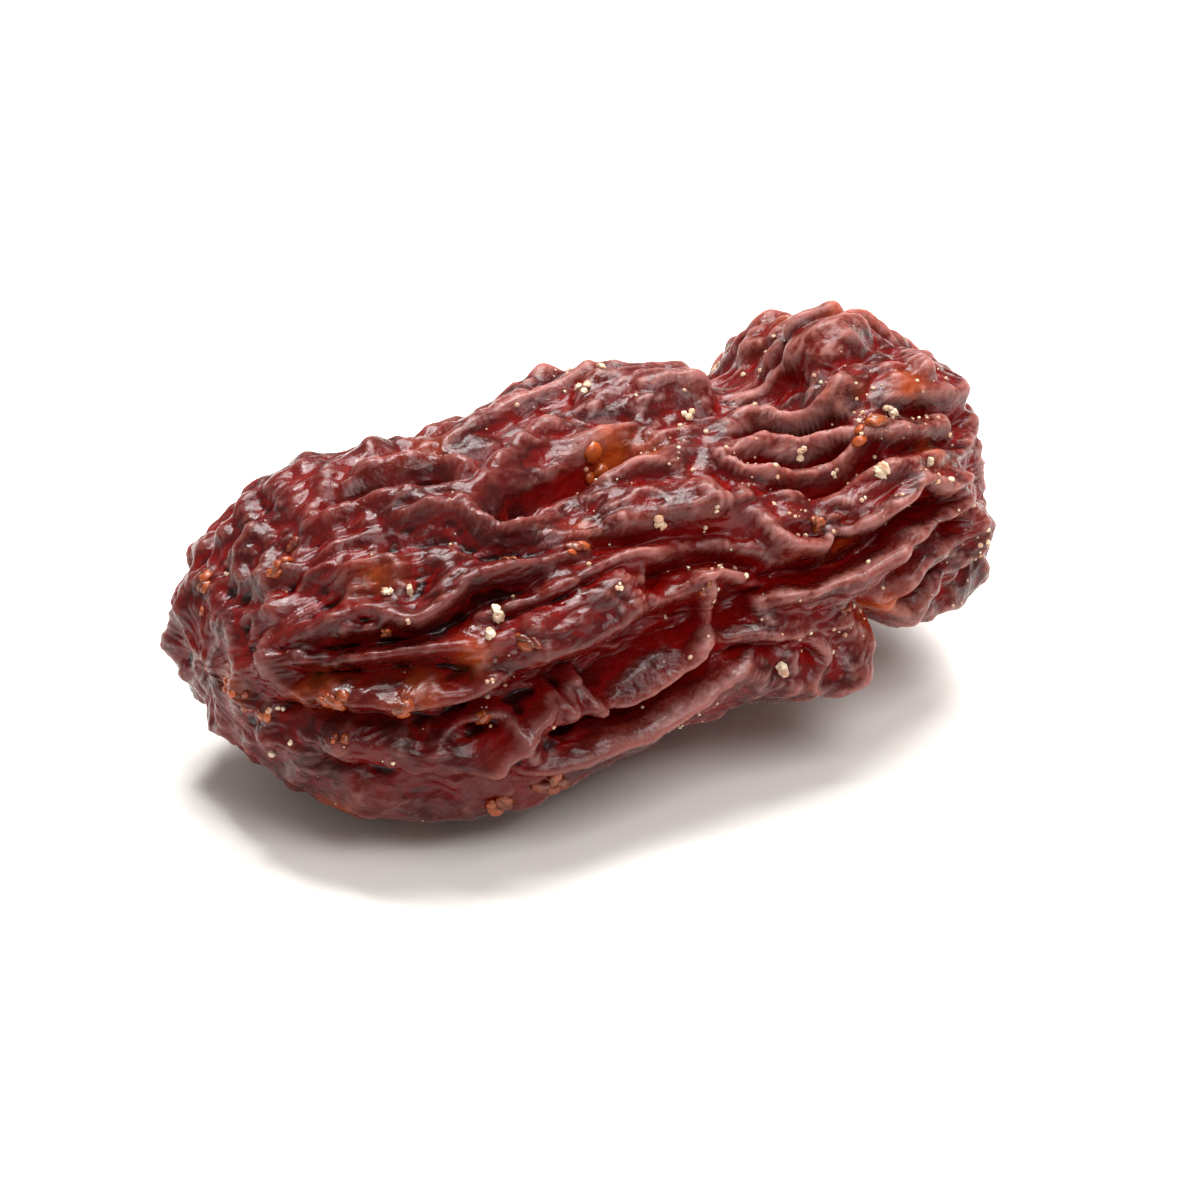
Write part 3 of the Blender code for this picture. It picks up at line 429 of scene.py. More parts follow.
def relief(points, radius, angle):
    """Heights over the plain body of the named folds, and of the wrinkles that fill the skin between.

    The wrinkles are pleats, hollows and hairlines, less so on a narrow fold. The left end is pitted
    instead of pleated, the tips and the underside are smoother.
    """
    creases, crests, cover = np.zeros((3, len(points)))
    for _, height, upper, lower, squareness, path in FOLDS:
        one = fold_height(points, path, height, upper, lower, squareness)
        creases += np.minimum(one, 0)
        crests += np.maximum(one, 0)
        share = 1.0 if max(upper, lower) < BROAD else BROAD_COVER
        cover = np.maximum(cover, share * np.abs(one / height))
    named = bottomed(creases) + crests
    left = ramp(-points[:, 0], LEFT_END)
    tip = ramp(radius, TIP)
    pleated = ramp(radius, PLEATED) * (1 - PLEATS_LOST * cover) * (1 - PLEATS_LOST_LEFT * left)
    hollow = (1 - left) * hollows(points, HOLLOW, HOLLOW_SEED) + left * hollows(points, PIT, PIT_SEED)
    broad = pleated * pleats(points, angle, PLEAT_SEED) + (1 - HOLLOWS_LOST * cover) * hollow
    bump_height, bump_across, bump_along = BUMP
    broad += bump_height * noise(points / (bump_along, bump_across, bump_across), BUMP_SEED)
    fine = hollows(points, CRINKLE, CRINKLE_SEED) + ridged(points, HAIRLINE, HAIRLINE_SEED)
    under = 1 - LOST_UNDERNEATH * ramp(-points[:, 2], UNDERSIDE)
    skin = broad * (TIP_WRINKLES + (1 - TIP_WRINKLES) * tip) + fine
    return named * (TIP_FOLDS + (1 - TIP_FOLDS) * tip) + scar(points), skin * under


def scar(points):
    """The stem scar at the right tip: a shallow torn dimple with a low, uneven rim, in millimetres.

    With d the distance to the tip, the rim is a bell about SCAR_RADIUS and the dimple a flat-topped
    bell as wide. The outline waves two, three and seven times round, and the rim three times.
    """
    offset = points - body_points(HALF_LENGTH + MIDDLE_X, 0.0, 0.0)
    turn = np.arctan2(offset[..., 2], offset[..., 1])
    torn = 1 + 0.20 * np.cos(2 * turn + 0.6) + 0.12 * np.cos(3 * turn + 2.0) + 0.08 * np.cos(7 * turn)
    d = np.linalg.norm(offset, axis=-1) / torn
    rim = RIM_HEIGHT * (1 + 0.7 * np.cos(3 * turn - 0.5)) * np.exp(-((d - SCAR_RADIUS) / RIM_WIDTH) ** 2)
    return rim - SCAR_DEPTH * np.exp(-((d / SCAR_RADIUS) ** 4))


def smooth_step(t):
    """0 up to t = 0, 1 from t = 1, and smooth between."""
    t = np.clip(t, 0, 1)
    return t * t * (3 - 2 * t)


def ramp(distance, stretch):
    """0 up to the start of a stretch, 1 past its length, and smooth between."""
    start, length = stretch
    return smooth_step((distance - start) / length)


def smoothed(h, turns):
    """Heights on the grid with the sharpest corners rounded: a few passes of a 1-2-1 average."""
    for _ in range(turns):
        h = (np.roll(h, 1, 1) + 2 * h + np.roll(h, -1, 1)) / 4
        h[1:-1] = (h[:-2] + 2 * h[1:-1] + h[2:]) / 4
    return h


def slopes(h, base):
    """Slope of the heights as a vector along the plain body, pointing uphill."""
    along, around = tangents(base)
    rise_along, rise_around = tangents(h[..., None])
    slope = rise_along * along / np.maximum((along**2).sum(-1, keepdims=True), 1e-6)
    return slope + rise_around * around / np.maximum((around**2).sum(-1, keepdims=True), 1e-4)


def skin_heights(base, r):
    """Height of the skin over the plain body at each point of its grid.

    Wrinkles fade on the steep side of a fold, where the skin is stretched smooth.
    """
    columns = base.shape[1]
    angle = np.tile(column_angles(columns), len(r))
    folds, wrinkles = relief(base.reshape(-1, 3), np.repeat(r, columns), angle)
    folds, wrinkles = folds.reshape(base.shape[:2]), wrinkles.reshape(base.shape[:2])
    steep = np.linalg.norm(slopes(smoothed(folds, SLOPE_PASSES), base), axis=-1)
    h = folds + wrinkles / (1 + (steep / GENTLE) ** 2)
    h[0], h[-1] = h[1].mean(), h[-2].mean()
    return h


def raisin_grid(rows, columns):
    """The raisin's skin as a (rows + 1, columns, 3) grid of points, one tip at each end row."""
    base, r = body_grid(rows, columns)
    h = smoothed(skin_heights(base, r), 1)
    h = h + CRISPNESS * (h - smoothed(h, CRISP_PASSES))
    slope = slopes(h, base)
    steep = np.linalg.norm(slope, axis=-1, keepdims=True)
    fade = smooth_step(r / LEAN_FULL)[:, None, None]
    # Each point leans away from the crest above it, so that crests are full and creases pinched.
    grid = base + normals(base) * h[..., None] - LEAN * fade * slope / np.maximum(1, steep / STEEPEST)
    grid[..., 2] = settle(grid[..., 2])
    grid[0], grid[-1] = grid[0].mean(0), grid[-1].mean(0)
    return grid


def settle(z):
    """Heights above the resting plane: what would lie below it is pressed flat."""
    low = (z + np.sqrt(z**2 + PRESS**2)) / 2
    return np.where(z > 6 * PRESS, z, low)


# Rows and columns of the fine skin, the height at which the underside is flat, and a millimetre.
ROWS = 236
COLUMNS = 420
SOLE = 0.04
MM = 0.001
# From the grape's own centre to the middle of the box it stands in, in millimetres.
TO_BOX_MIDDLE = (0.2249, -0.2803, SOLE)


def set_down(points):
    """Points in metres with the sole at height 0, none of them outside the raisin's own box."""
    low, high = np.array(cad_box)
    return np.clip((points - TO_BOX_MIDDLE) * MM, low, high)


def skin_mesh(name, grid):
    """Closed mesh of a grid that joins up round; each end row becomes one tip vertex."""
    rows, columns = grid.shape[0] - 1, grid.shape[1]
    vertices = np.concatenate([grid[0, :1], grid[1:-1].reshape(-1, 3), grid[-1, :1]])
    ring = 1 + np.arange((rows - 1) * columns).reshape(rows - 1, columns)
    beside = np.roll(ring, -1, 1)
    quads = np.stack([ring[:-1], ring[1:], beside[1:], beside[:-1]], -1).reshape(-1, 4)
    first = np.stack([0 * ring[0], ring[0], beside[0]], -1)
    last = np.stack([0 * ring[0] + len(vertices) - 1, beside[-1], ring[-1]], -1)
    mesh = bpy.data.meshes.new(name)
    mesh.from_pydata(vertices, [], first.tolist() + quads.tolist() + last.tolist())
    return mesh


base_grid, grid_radius = body_grid(ROWS, COLUMNS)
skin_height = skin_heights(base_grid, grid_radius)
skin_grid = set_down(raisin_grid(ROWS, COLUMNS))
skin = bpy.data.objects.new("raisin_skin", skin_mesh("raisin_skin", skin_grid))
bpy.context.scene.collection.objects.link(skin)
skin.data.shade_smooth()


def by_vertex(values):
    """Values on the grid in the mesh's order of vertices: one for each tip and the rest between."""
    return np.concatenate([values[0, :1], values[1:-1].ravel(), values[-1, :1]])


def paint(mesh, name, values):
    """Store one number for each vertex under a name that the material reads."""
    layer = mesh.attributes.new(name, "FLOAT", "POINT")
    layer.data.foreach_set("value", by_vertex(values).astype(np.float32))


def patches(spots):
    """Soft round patches, 0 to 1: for each (along X, degrees, radius, strength) a bell round its place."""
    xs, rs = profile()
    x, degrees, radius, strength = np.array(spots, float).T
    centre = body_points(x, np.interp(x, xs, rs), np.radians(degrees))
    out = np.zeros((ROWS + 1, COLUMNS))
    for c, r, s in zip(centre, radius, strength):
        out = np.maximum(out, s * np.exp(-(((base_grid - c) ** 2).sum(-1) / r**2)))
    return out


# Where the skin shows a crest, an edge or a crease: its height against that of the skin around it,
# which is the heights smoothed over more passes. Each is full at its own height in millimetres.
CREST_PASSES, CREST_FULL = 20, 0.09
EDGE_PASSES, EDGE_FULL = 2, 0.018
NEAR_PASSES, AROUND_PASSES, CREASE_START, CREASE_FULL = 4, 150, 0.05, 0.30
crest = np.clip((smoothed(skin_height, 1) - smoothed(skin_height, CREST_PASSES)) / CREST_FULL, -1, 1)
edge = np.clip((skin_height - smoothed(skin_height, EDGE_PASSES)) / EDGE_FULL - 0.5, 0, 1)
# The share of the height around a crease that its depth is measured from. Dents of the back are
# broad, so it is larger there; BACK is where along Y the back starts and over what length.
AROUND_FRONT, AROUND_BACK, BACK = 0.5, 0.9, (-0.5, 2.0)
around_share = AROUND_FRONT + (AROUND_BACK - AROUND_FRONT) * ramp(base_grid[..., 1], BACK)
depth = around_share * smoothed(skin_height, AROUND_PASSES) - smoothed(skin_height, NEAR_PASSES)
crease = ramp(depth, (CREASE_START, CREASE_FULL))

# Bloom, the skin's dull pale wax, is rubbed off the left end and lies thick on the right, thickest
# on the lobe by the stem. Its rise up the flanks is painted top light, which makes the top paler.
# Each pair is where in millimetres it starts to thicken and over what length: along the raisin, up
# its flanks from a low share of its strength, and on to the lobe.
BLOOM_ALONG = (-2.6, 3.2)
BLOOM_AND_TOP_LIGHT_UP = (2.0, 3.0)
LOW_BLOOM_AND_TOP_LIGHT = 0.55
BLOOM_LOBE = (2.2, 2.0)
LOBE_EXTRA = 0.45
bloom_and_top_light = ramp(base_grid[..., 0], BLOOM_ALONG)
bloom_and_top_light = bloom_and_top_light * (LOW_BLOOM_AND_TOP_LIGHT + (1 - LOW_BLOOM_AND_TOP_LIGHT) * ramp(base_grid[..., 2], BLOOM_AND_TOP_LIGHT_UP))
bloom_and_top_light = bloom_and_top_light * (1 + LOBE_EXTRA * ramp(base_grid[..., 0], BLOOM_LOBE))
# Thin places where the flesh glows orange through the skin: (along X, degrees, radius, strength).
AMBER = (
    (0.6, 78, 0.42, 1.0), (1.0, 74, 0.30, 0.8), (-0.95, 57, 0.28, 1.0), (4.6, -10, 0.35, 0.8),
    (4.9, 70, 0.40, 0.6), (6.0, 62, 0.35, 0.5), (3.7, 35, 0.22, 0.9), (6.2, 40, 0.30, 0.6),
    (-4.9, 60, 0.35, 0.6), (-6.4, 16, 0.45, 0.8), (-5.0, 15, 0.40, 0.6), (-7.3, 5, 0.35, 0.7),
    (-5.5, -50, 0.5, 0.6), (-4.2, -56, 0.5, 0.8), (-2.9, -60, 0.45, 1.0), (-2.0, -62, 0.5, 0.9),
    (-2.5, 103, 0.5, 0.5), (5.6, 112, 0.7, 0.5), (-3.8, 27, 0.3, 0.5),
)
amber = patches(AMBER)
paint(skin.data, "crest", crest)
paint(skin.data, "edge", edge)
paint(skin.data, "crease", crease)
paint(skin.data, "bloom_and_top_light", bloom_and_top_light)
paint(skin.data, "amber", amber)


def linear(hex_colour):
    """An sRGB hex colour such as #8c3a34 as linear RGBA."""
    srgb = [int(hex_colour[k : k + 2], 16) / 255 for k in (1, 3, 5)]
    return [c / 12.92 if c <= 0.04045 else ((c + 0.055) / 1.055) ** 2.4 for c in srgb] + [1]


def node(tree, kind, inputs=(), **settings):
    """Add one node. settings are its own properties; inputs maps a socket's name or number to the
    value it holds or to the output that feeds it."""
    made = tree.nodes.new(kind)
    for name, value in settings.items():
        setattr(made, name, value)
    for socket, value in dict(inputs).items():
        if isinstance(value, bpy.types.NodeSocket):
            tree.links.new(value, made.inputs[socket])
        else:
            made.inputs[socket].default_value = value
    return made


def blank_material(name):
    """A material with nothing but its output, and its node tree."""
    material = bpy.data.materials.new(name)
    material.use_nodes = True
    material.node_tree.nodes.clear()
    return material, material.node_tree


# Dried grape skin: a thin dark red translucent film over sugary flesh. It is glossy where rubbed,
# dull and pinkish where its wax bloom is left, paler on top with painted top light, and a deeper,
# glowing red down in the folds.
grape_skin, tree = blank_material("dried_grape_skin")
place = node(tree, "ShaderNodeTexCoord").outputs["Object"]
crest_at = node(tree, "ShaderNodeAttribute", attribute_name="crest").outputs["Fac"]
edge_at = node(tree, "ShaderNodeAttribute", attribute_name="edge").outputs["Fac"]
crease_at = node(tree, "ShaderNodeAttribute", attribute_name="crease").outputs["Fac"]
bloom_and_top_light_at = node(tree, "ShaderNodeAttribute", attribute_name="bloom_and_top_light").outputs["Fac"]
amber_at = node(tree, "ShaderNodeAttribute", attribute_name="amber").outputs["Fac"]
# Noise scales are cells a metre: mottling about 1.2 mm, grain about 0.10 mm, creping 0.26 mm. The
# creping wanders by up to 0.6 mm and is drawn out along the raisin.
MOTTLE, GRAIN, PORE = 1 / 0.0012, 1 / 0.00010, 1 / 0.00026
WANDER, WANDER_REACH, DRAWN_OUT = 1.6 * MOTTLE, 0.0006, (0.45, 1.0, 1.0)
# Flesh where it is thin and thick, the skin's crests, its wax with painted top light, the line of wax
# and painted highlight along its sharpest edges, its glow down in a fold, the painted shade of the
# narrowest gaps, and the amber of thin skin.
THIN_FLESH, THICK_FLESH, CREST_RED, WAX_AND_TOP_LIGHT_PINK = "#360605", "#5a0e0a", "#54170f", "#7a3f34"
EDGE_WAX_AND_HIGHLIGHT, FOLD_GLOW, GAP_PAINTED_SHADE, THIN_AMBER = "#9c746e", "#6a0403", "#220202", "#b5531c"
mottle = node(tree, "ShaderNodeTexNoise", {"Vector": place, "Scale": MOTTLE, "Detail": 4.0}).outputs["Fac"]
grain = node(tree, "ShaderNodeTexNoise", {"Vector": place, "Scale": GRAIN, "Detail": 3.0}).outputs["Fac"]
wander = node(tree, "ShaderNodeTexNoise", {"Vector": place, "Scale": WANDER, "Detail": 1.0}).outputs["Color"]
bent = node(tree, "ShaderNodeVectorMath", {0: wander, 3: WANDER_REACH}, operation="SCALE").outputs[0]
bent = node(tree, "ShaderNodeVectorMath", {0: place, 1: bent}, operation="ADD").outputs[0]
bent = node(tree, "ShaderNodeVectorMath", {0: bent, 1: DRAWN_OUT}, operation="MULTIPLY").outputs[0]
pore = node(
    tree, "ShaderNodeTexVoronoi", {"Vector": bent, "Scale": PORE, "Randomness": 1.0}
).outputs["Distance"]

# The flesh's dark red, mottled where it is thicker or thinner.
thickness = node(
    tree,
    "ShaderNodeMapRange",
    {"Value": mottle, "From Min": 0.35, "From Max": 0.65},
    interpolation_type="SMOOTHSTEP",
).outputs["Result"]
flesh_colour = node(
    tree, "ShaderNodeMix", {0: thickness, 6: linear(THIN_FLESH), 7: linear(THICK_FLESH)}, data_type="RGBA"
).outputs[2]

# Crests are paler, and the creping breaks up where they begin.
creping = node(
    tree,
    "ShaderNodeMapRange",
    {"Value": pore, "From Min": 0.1, "From Max": 0.9, "To Min": -0.35, "To Max": 0.35},
    interpolation_type="SMOOTHSTEP",
).outputs["Result"]
raised = node(tree, "ShaderNodeMath", {0: crest_at, 1: creping}, operation="ADD").outputs[0]
crest_share = node(
    tree,
    "ShaderNodeMapRange",
    {"Value": raised, "From Min": 0.15, "From Max": 1.15, "To Max": 0.65},
    interpolation_type="SMOOTHSTEP",
).outputs["Result"]
crest_colour = node(
    tree, "ShaderNodeMix", {0: crest_share, 6: flesh_colour, 7: linear(CREST_RED)}, data_type="RGBA"
).outputs[2]

# The wax bloom frosts the crests in grains, paler on top with painted top light, and the sharpest
# edges carry a pale line, partly wax and partly a painted highlight.
open_skin = node(
    tree,
    "ShaderNodeMapRange",
    {"Value": raised, "From Min": -0.1, "From Max": 1.1},
    interpolation_type="SMOOTHSTEP",
).outputs["Result"]
grains = node(
    tree,
    "ShaderNodeMapRange",
    {"Value": grain, "From Min": 0.40, "From Max": 0.62, "To Min": 0.25, "To Max": 1.0},
    interpolation_type="SMOOTHSTEP",
).outputs["Result"]
wax_and_top_light = node(tree, "ShaderNodeMath", {0: bloom_and_top_light_at, 1: open_skin}, operation="MULTIPLY").outputs[0]
wax_and_top_light = node(tree, "ShaderNodeMath", {0: wax_and_top_light, 1: grains}, operation="MULTIPLY").outputs[0]
frost_and_top_light_share = node(tree, "ShaderNodeMath", {0: wax_and_top_light, 1: 0.55}, operation="MULTIPLY").outputs[0]
frosted_and_top_lit = node(
    tree, "ShaderNodeMix", {0: frost_and_top_light_share, 6: crest_colour, 7: linear(WAX_AND_TOP_LIGHT_PINK)}, data_type="RGBA"
).outputs[2]
# Painted highlight: the pale edge line, stronger where the bloom and the painted top light are.
line_strength = node(
    tree, "ShaderNodeMapRange", {"Value": bloom_and_top_light_at, "To Min": 0.20, "To Max": 0.50}
).outputs["Result"]
line_share = node(tree, "ShaderNodeMath", {0: edge_at, 1: line_strength}, operation="MULTIPLY").outputs[0]
lined = node(
    tree, "ShaderNodeMix", {0: line_share, 6: frosted_and_top_lit, 7: linear(EDGE_WAX_AND_HIGHLIGHT)}, data_type="RGBA"
).outputs[2]

# Down in the folds light comes through the skin from both sides: a clear red, patchy with the
# flesh behind it. The narrowest of them, where there is little bloom, get painted shade, nearly black.
narrow = node(
    tree,
    "ShaderNodeMapRange",
    {"Value": raised, "From Min": 0.05, "From Max": -0.6},
    interpolation_type="SMOOTHSTEP",
).outputs["Result"]
wide = node(
    tree,
    "ShaderNodeMapRange",
    {"Value": crease_at, "From Min": 0.10, "From Max": 0.65},
    interpolation_type="SMOOTHSTEP",
).outputs["Result"]
sunk = node(tree, "ShaderNodeMath", {0: wide, 1: narrow}, operation="MAXIMUM").outputs[0]
patchy = node(
    tree,
    "ShaderNodeMapRange",
    {"Value": mottle, "From Min": 0.35, "From Max": 0.60, "To Min": 0.6, "To Max": 0.97},
).outputs["Result"]
glow_share = node(tree, "ShaderNodeMath", {0: sunk, 1: patchy}, operation="MULTIPLY").outputs[0]
glow = node(
    tree, "ShaderNodeMix", {0: glow_share, 6: lined, 7: linear(FOLD_GLOW)}, data_type="RGBA"
).outputs[2]
# Painted shade in the narrowest creases.
gap = node(
    tree,
    "ShaderNodeMapRange",
    {"Value": raised, "From Min": -0.3, "From Max": -1.0},
    interpolation_type="SMOOTHSTEP",
).outputs["Result"]
bare = node(
    tree,
    "ShaderNodeMapRange",
    {"Value": bloom_and_top_light_at, "From Min": 0.6, "From Max": 0.0},
    interpolation_type="SMOOTHSTEP",
).outputs["Result"]
gap_shade_share = node(tree, "ShaderNodeMath", {0: gap, 1: bare}, operation="MULTIPLY").outputs[0]
deep = node(
    tree, "ShaderNodeMix", {0: gap_shade_share, 6: glow, 7: linear(GAP_PAINTED_SHADE)}, data_type="RGBA"
).outputs[2]

# Amber, where the skin is thin.
ragged = node(
    tree,
    "ShaderNodeMapRange",
    {"Value": mottle, "From Min": 0.35, "From Max": 0.60, "To Max": 0.8},
    interpolation_type="SMOOTHSTEP",
).outputs["Result"]
amber_share = node(tree, "ShaderNodeMath", {0: amber_at, 1: ragged}, operation="MULTIPLY").outputs[0]
skin_colour = node(
    tree, "ShaderNodeMix", {0: amber_share, 6: deep, 7: linear(THIN_AMBER)}, data_type="RGBA"
).outputs[2]

# Bloom dulls the gloss, and the grain breaks it up. Grain and creping are also felt as bumps.
dulled = node(
    tree,
    "ShaderNodeMapRange",
    {"Value": wax_and_top_light, "From Max": 0.5, "To Min": 0.20, "To Max": 0.44},
    interpolation_type="SMOOTHSTEP",
).outputs["Result"]
broken = node(
    tree,
    "ShaderNodeMapRange",
    {"Value": grain, "From Min": 0.3, "From Max": 0.7, "To Min": -0.04, "To Max": 0.08},
    interpolation_type="SMOOTHSTEP",
).outputs["Result"]
skin_roughness = node(tree, "ShaderNodeMath", {0: dulled, 1: broken}, operation="ADD").outputs[0]
pimples = node(
    tree, "ShaderNodeBump", {"Height": grain, "Strength": 0.5, "Distance": 0.00004}
).outputs["Normal"]
pitted = node(
    tree, "ShaderNodeBump", {"Height": pore, "Strength": 0.7, "Distance": 0.00007, "Normal": pimples}
).outputs["Normal"]
surface = node(
    tree,
    "ShaderNodeBsdfPrincipled",
    {
        "Base Color": skin_colour,
        "Roughness": skin_roughness,
        "IOR": 1.45,
        "Specular IOR Level": 0.21,
        "Subsurface Weight": 0.45,
        "Subsurface Radius": (1.0, 0.12, 0.06),
        "Subsurface Scale": 0.0009,
        "Coat Weight": 0.12,
        "Coat Roughness": 0.06,
        "Normal": pitted,
    },
)
node(tree, "ShaderNodeOutputMaterial", {"Surface": surface.outputs["BSDF"]})
skin.data.materials.append(grape_skin)
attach(skin, "root")
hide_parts("raisin")

# Sugar and crumbs. Grains of the grape's own sugar, dried out on its skin, and crumbs of amber
# flesh and stalk that stuck to it. Each is a loose bit half sunk in the waxy skin.
# A lump's rings and sides, how uneven it is, and how far its middle stands off the skin, each as
# a share of its radius.
LUMP_RINGS = 4
LUMP_SIDES = 8
UNEVENNESS = 0.25
STANDING_OFF = 0.2
# Each as (along X, degrees, radius along the view's long side, radius across it), in millimetres.
SUGAR = (
    (0.33, 49, 0.15, 0.15), (5.7, 60, 0.15, 0.13), (4.86, 42, 0.14, 0.20), (5.83, 36, 0.12, 0.12),
    (6.1, 27, 0.08, 0.08), (3.81, 65, 0.10, 0.10), (4.16, 54, 0.08, 0.08), (1.4, 48, 0.07, 0.07),
    (1.25, 46, 0.06, 0.06), (4.44, 148, 0.12, 0.10), (0.61, 101, 0.15, 0.12), (1.04, 103, 0.12, 0.12),
    (2.25, -8, 0.14, 0.20), (-3.22, 39, 0.18, 0.20), (2.18, 86, 0.10, 0.10), (4.44, 40, 0.06, 0.06),
    (-1.09, 35, 0.07, 0.07), (-4.9, 54, 0.12, 0.12), (-4.55, 53, 0.08, 0.12), (-4.76, 41, 0.06, 0.06),
    (-6.99, -1, 0.08, 0.08), (-6.85, -35, 0.10, 0.10), (-6.69, -15, 0.06, 0.06), (-3.71, 19, 0.06, 0.06),
    (-6.8, 107, 0.08, 0.08), (-3.43, 33, 0.16, 0.20),
)
CRUMBS = (
    (3.31, 40, 0.16, 0.18), (3.67, 5, 0.12, 0.10), (0.83, 28, 0.12, 0.12), (-1.45, 50, 0.24, 0.16),
    (-2.72, 52, 0.10, 0.20), (-6.22, 14, 0.28, 0.24), (-6.1, 15, 0.22, 0.20), (-5.1, 12, 0.22, 0.18),
    (-7.1, -6, 0.18, 0.16), (-7.27, 8, 0.15, 0.15), (-7.1, 112, 0.22, 0.18), (-6.16, 77, 0.22, 0.20),
    (-5.78, 89, 0.18, 0.16), (-5.17, 40, 0.10, 0.10), (-2.87, 29, 0.16, 0.30), (-6.04, -3, 0.12, 0.12),
    (-3.36, -34, 0.26, 0.20), (-2.44, -29, 0.30, 0.18), (-3.85, 3, 0.14, 0.20), (0.12, 80, 0.26, 0.28),
    (4.93, 56, 0.30, 0.22),
)
# A grain or crumb is a clump of lumps: how far they lie from its middle and their least and
# greatest size, as shares of its radii, and a millimetre round the body in degrees.
CLUMP_SPREAD = 0.65
CLUMP_SIZES = (0.40, 0.75)
DEGREES_A_MM = 14
# The finest specks: their count and that of their drifts, a drift's spread along X and in degrees,
# and the least radius of a speck with the most that it can be over that.
SPECKS = 420
DRIFTS = 34
DRIFT_LENGTH, DRIFT_TURN = 0.35, 6
SPECK_RADIUS, SPECK_RANGE = 0.016, 0.035


def specks(count, seed):
    """Places of the finest sugar: half in loose drifts, half scattered, most where the bloom is."""
    rng = np.random.default_rng(seed)
    x = rng.uniform(-6.5, 7.0, 4 * count)
    degrees = rng.uniform(-60, 240, 4 * count)
    drift = rng.integers(0, DRIFTS, 2 * count)
    x[: 2 * count] = rng.uniform(-6.0, 6.8, DRIFTS)[drift] + DRIFT_LENGTH * rng.standard_normal(2 * count)
    degrees[: 2 * count] = rng.uniform(-50, 230, DRIFTS)[drift] + DRIFT_TURN * rng.standard_normal(2 * count)
    order = rng.permutation(4 * count)
    x, degrees = x[order], degrees[order]
    kept = rng.random(4 * count) < 0.25 + 0.75 * smooth_step((x + 2.0) / 3.0)
    radius = SPECK_RADIUS + SPECK_RANGE * rng.random(4 * count) ** 2
    return np.stack([x, degrees, radius, radius], -1)[kept][:count]


def clumps(spots, each, seed):
    """Places of a few smaller lumps that overlap within the radii of each given place."""
    rng = np.random.default_rng(seed)
    x, degrees, wide, tall = np.repeat(np.array(spots, float), each, 0).T
    aside, down = rng.uniform(-CLUMP_SPREAD, CLUMP_SPREAD, (2, len(x)))
    size = rng.uniform(*CLUMP_SIZES, len(x))
    return np.stack([x + wide * aside, degrees + tall * down * DEGREES_A_MM, wide * size, tall * size], -1)


def lumps(name, spots, scale, flatness, seed):
    """One mesh of closed lumps sunk in the skin, and a random shade for each stored as "shade".

    Each lump is a sphere of LUMP_RINGS rings between two tips, every vertex moved in or out by a
    random share, then stretched to its radii, turned on the skin's normal and set down on it.
    """
    rng = np.random.default_rng(seed)
    x, degrees, wide, tall = np.array(spots, float).T
    wide, tall = wide * scale, tall * scale
    count = len(x)
    row = np.abs(base_grid[:, 0, 0] - x[:, None]).argmin(-1)
    turned = np.angle(np.exp(1j * (column_angles(COLUMNS) - np.radians(degrees)[:, None])))
    column = np.abs(turned).argmin(-1)
    centre, up = skin_grid[row, column], normals(skin_grid)[row, column]
    side = unit(np.cross(up, (0.0, 1.0, 0.0)) + 1e-6)
    polar = np.linspace(0, math.pi, LUMP_RINGS + 2)[1:-1]
    turn = np.arange(LUMP_SIDES) * 2 * math.pi / LUMP_SIDES
    ring = np.stack(
        [
            np.sin(polar)[:, None] * np.cos(turn),
            np.sin(polar)[:, None] * np.sin(turn),
            np.cos(polar)[:, None] + 0 * turn,
        ],
        -1,
    ).reshape(-1, 3)
    ball = np.concatenate([[[0, 0, 1]], ring, [[0, 0, -1]]])
    thick = flatness * np.minimum(wide, tall)
    shaped = ball * (1 + rng.uniform(-UNEVENNESS, UNEVENNESS, (count, len(ball), 1)))
    shaped *= (np.stack([wide, tall, thick], -1) * MM)[:, None, :]
    axes = np.stack([side, np.cross(up, side), up], 1)
    middle = centre + up * (STANDING_OFF * thick * MM)[:, None]
    placed = middle[:, None] + shaped @ axes
    low, high = np.array(cad_box)
    placed = np.clip(placed, low, high)
    at = 1 + np.arange(LUMP_RINGS * LUMP_SIDES).reshape(LUMP_RINGS, LUMP_SIDES)
    beside = np.roll(at, -1, 1)
    first = np.stack([0 * at[0], at[0], beside[0]], -1)
    last = np.stack([0 * at[0] + len(ball) - 1, beside[-1], at[-1]], -1)
    quads = np.stack([at[:-1], at[1:], beside[1:], beside[:-1]], -1).reshape(-1, 4)
    step = (np.arange(count) * len(ball))[:, None, None]
    caps = (np.concatenate([first, last]) + step).reshape(-1, 3)
    mesh = bpy.data.meshes.new(name)
    mesh.from_pydata(placed.reshape(-1, 3), [], caps.tolist() + (quads + step).reshape(-1, 4).tolist())
    shade = mesh.attributes.new("shade", "FLOAT", "POINT")
    shade.data.foreach_set("value", np.repeat(rng.random(count), len(ball)).astype(np.float32))
    made = bpy.data.objects.new(name, mesh)
    bpy.context.scene.collection.objects.link(made)
    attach(made, "root")
    return made


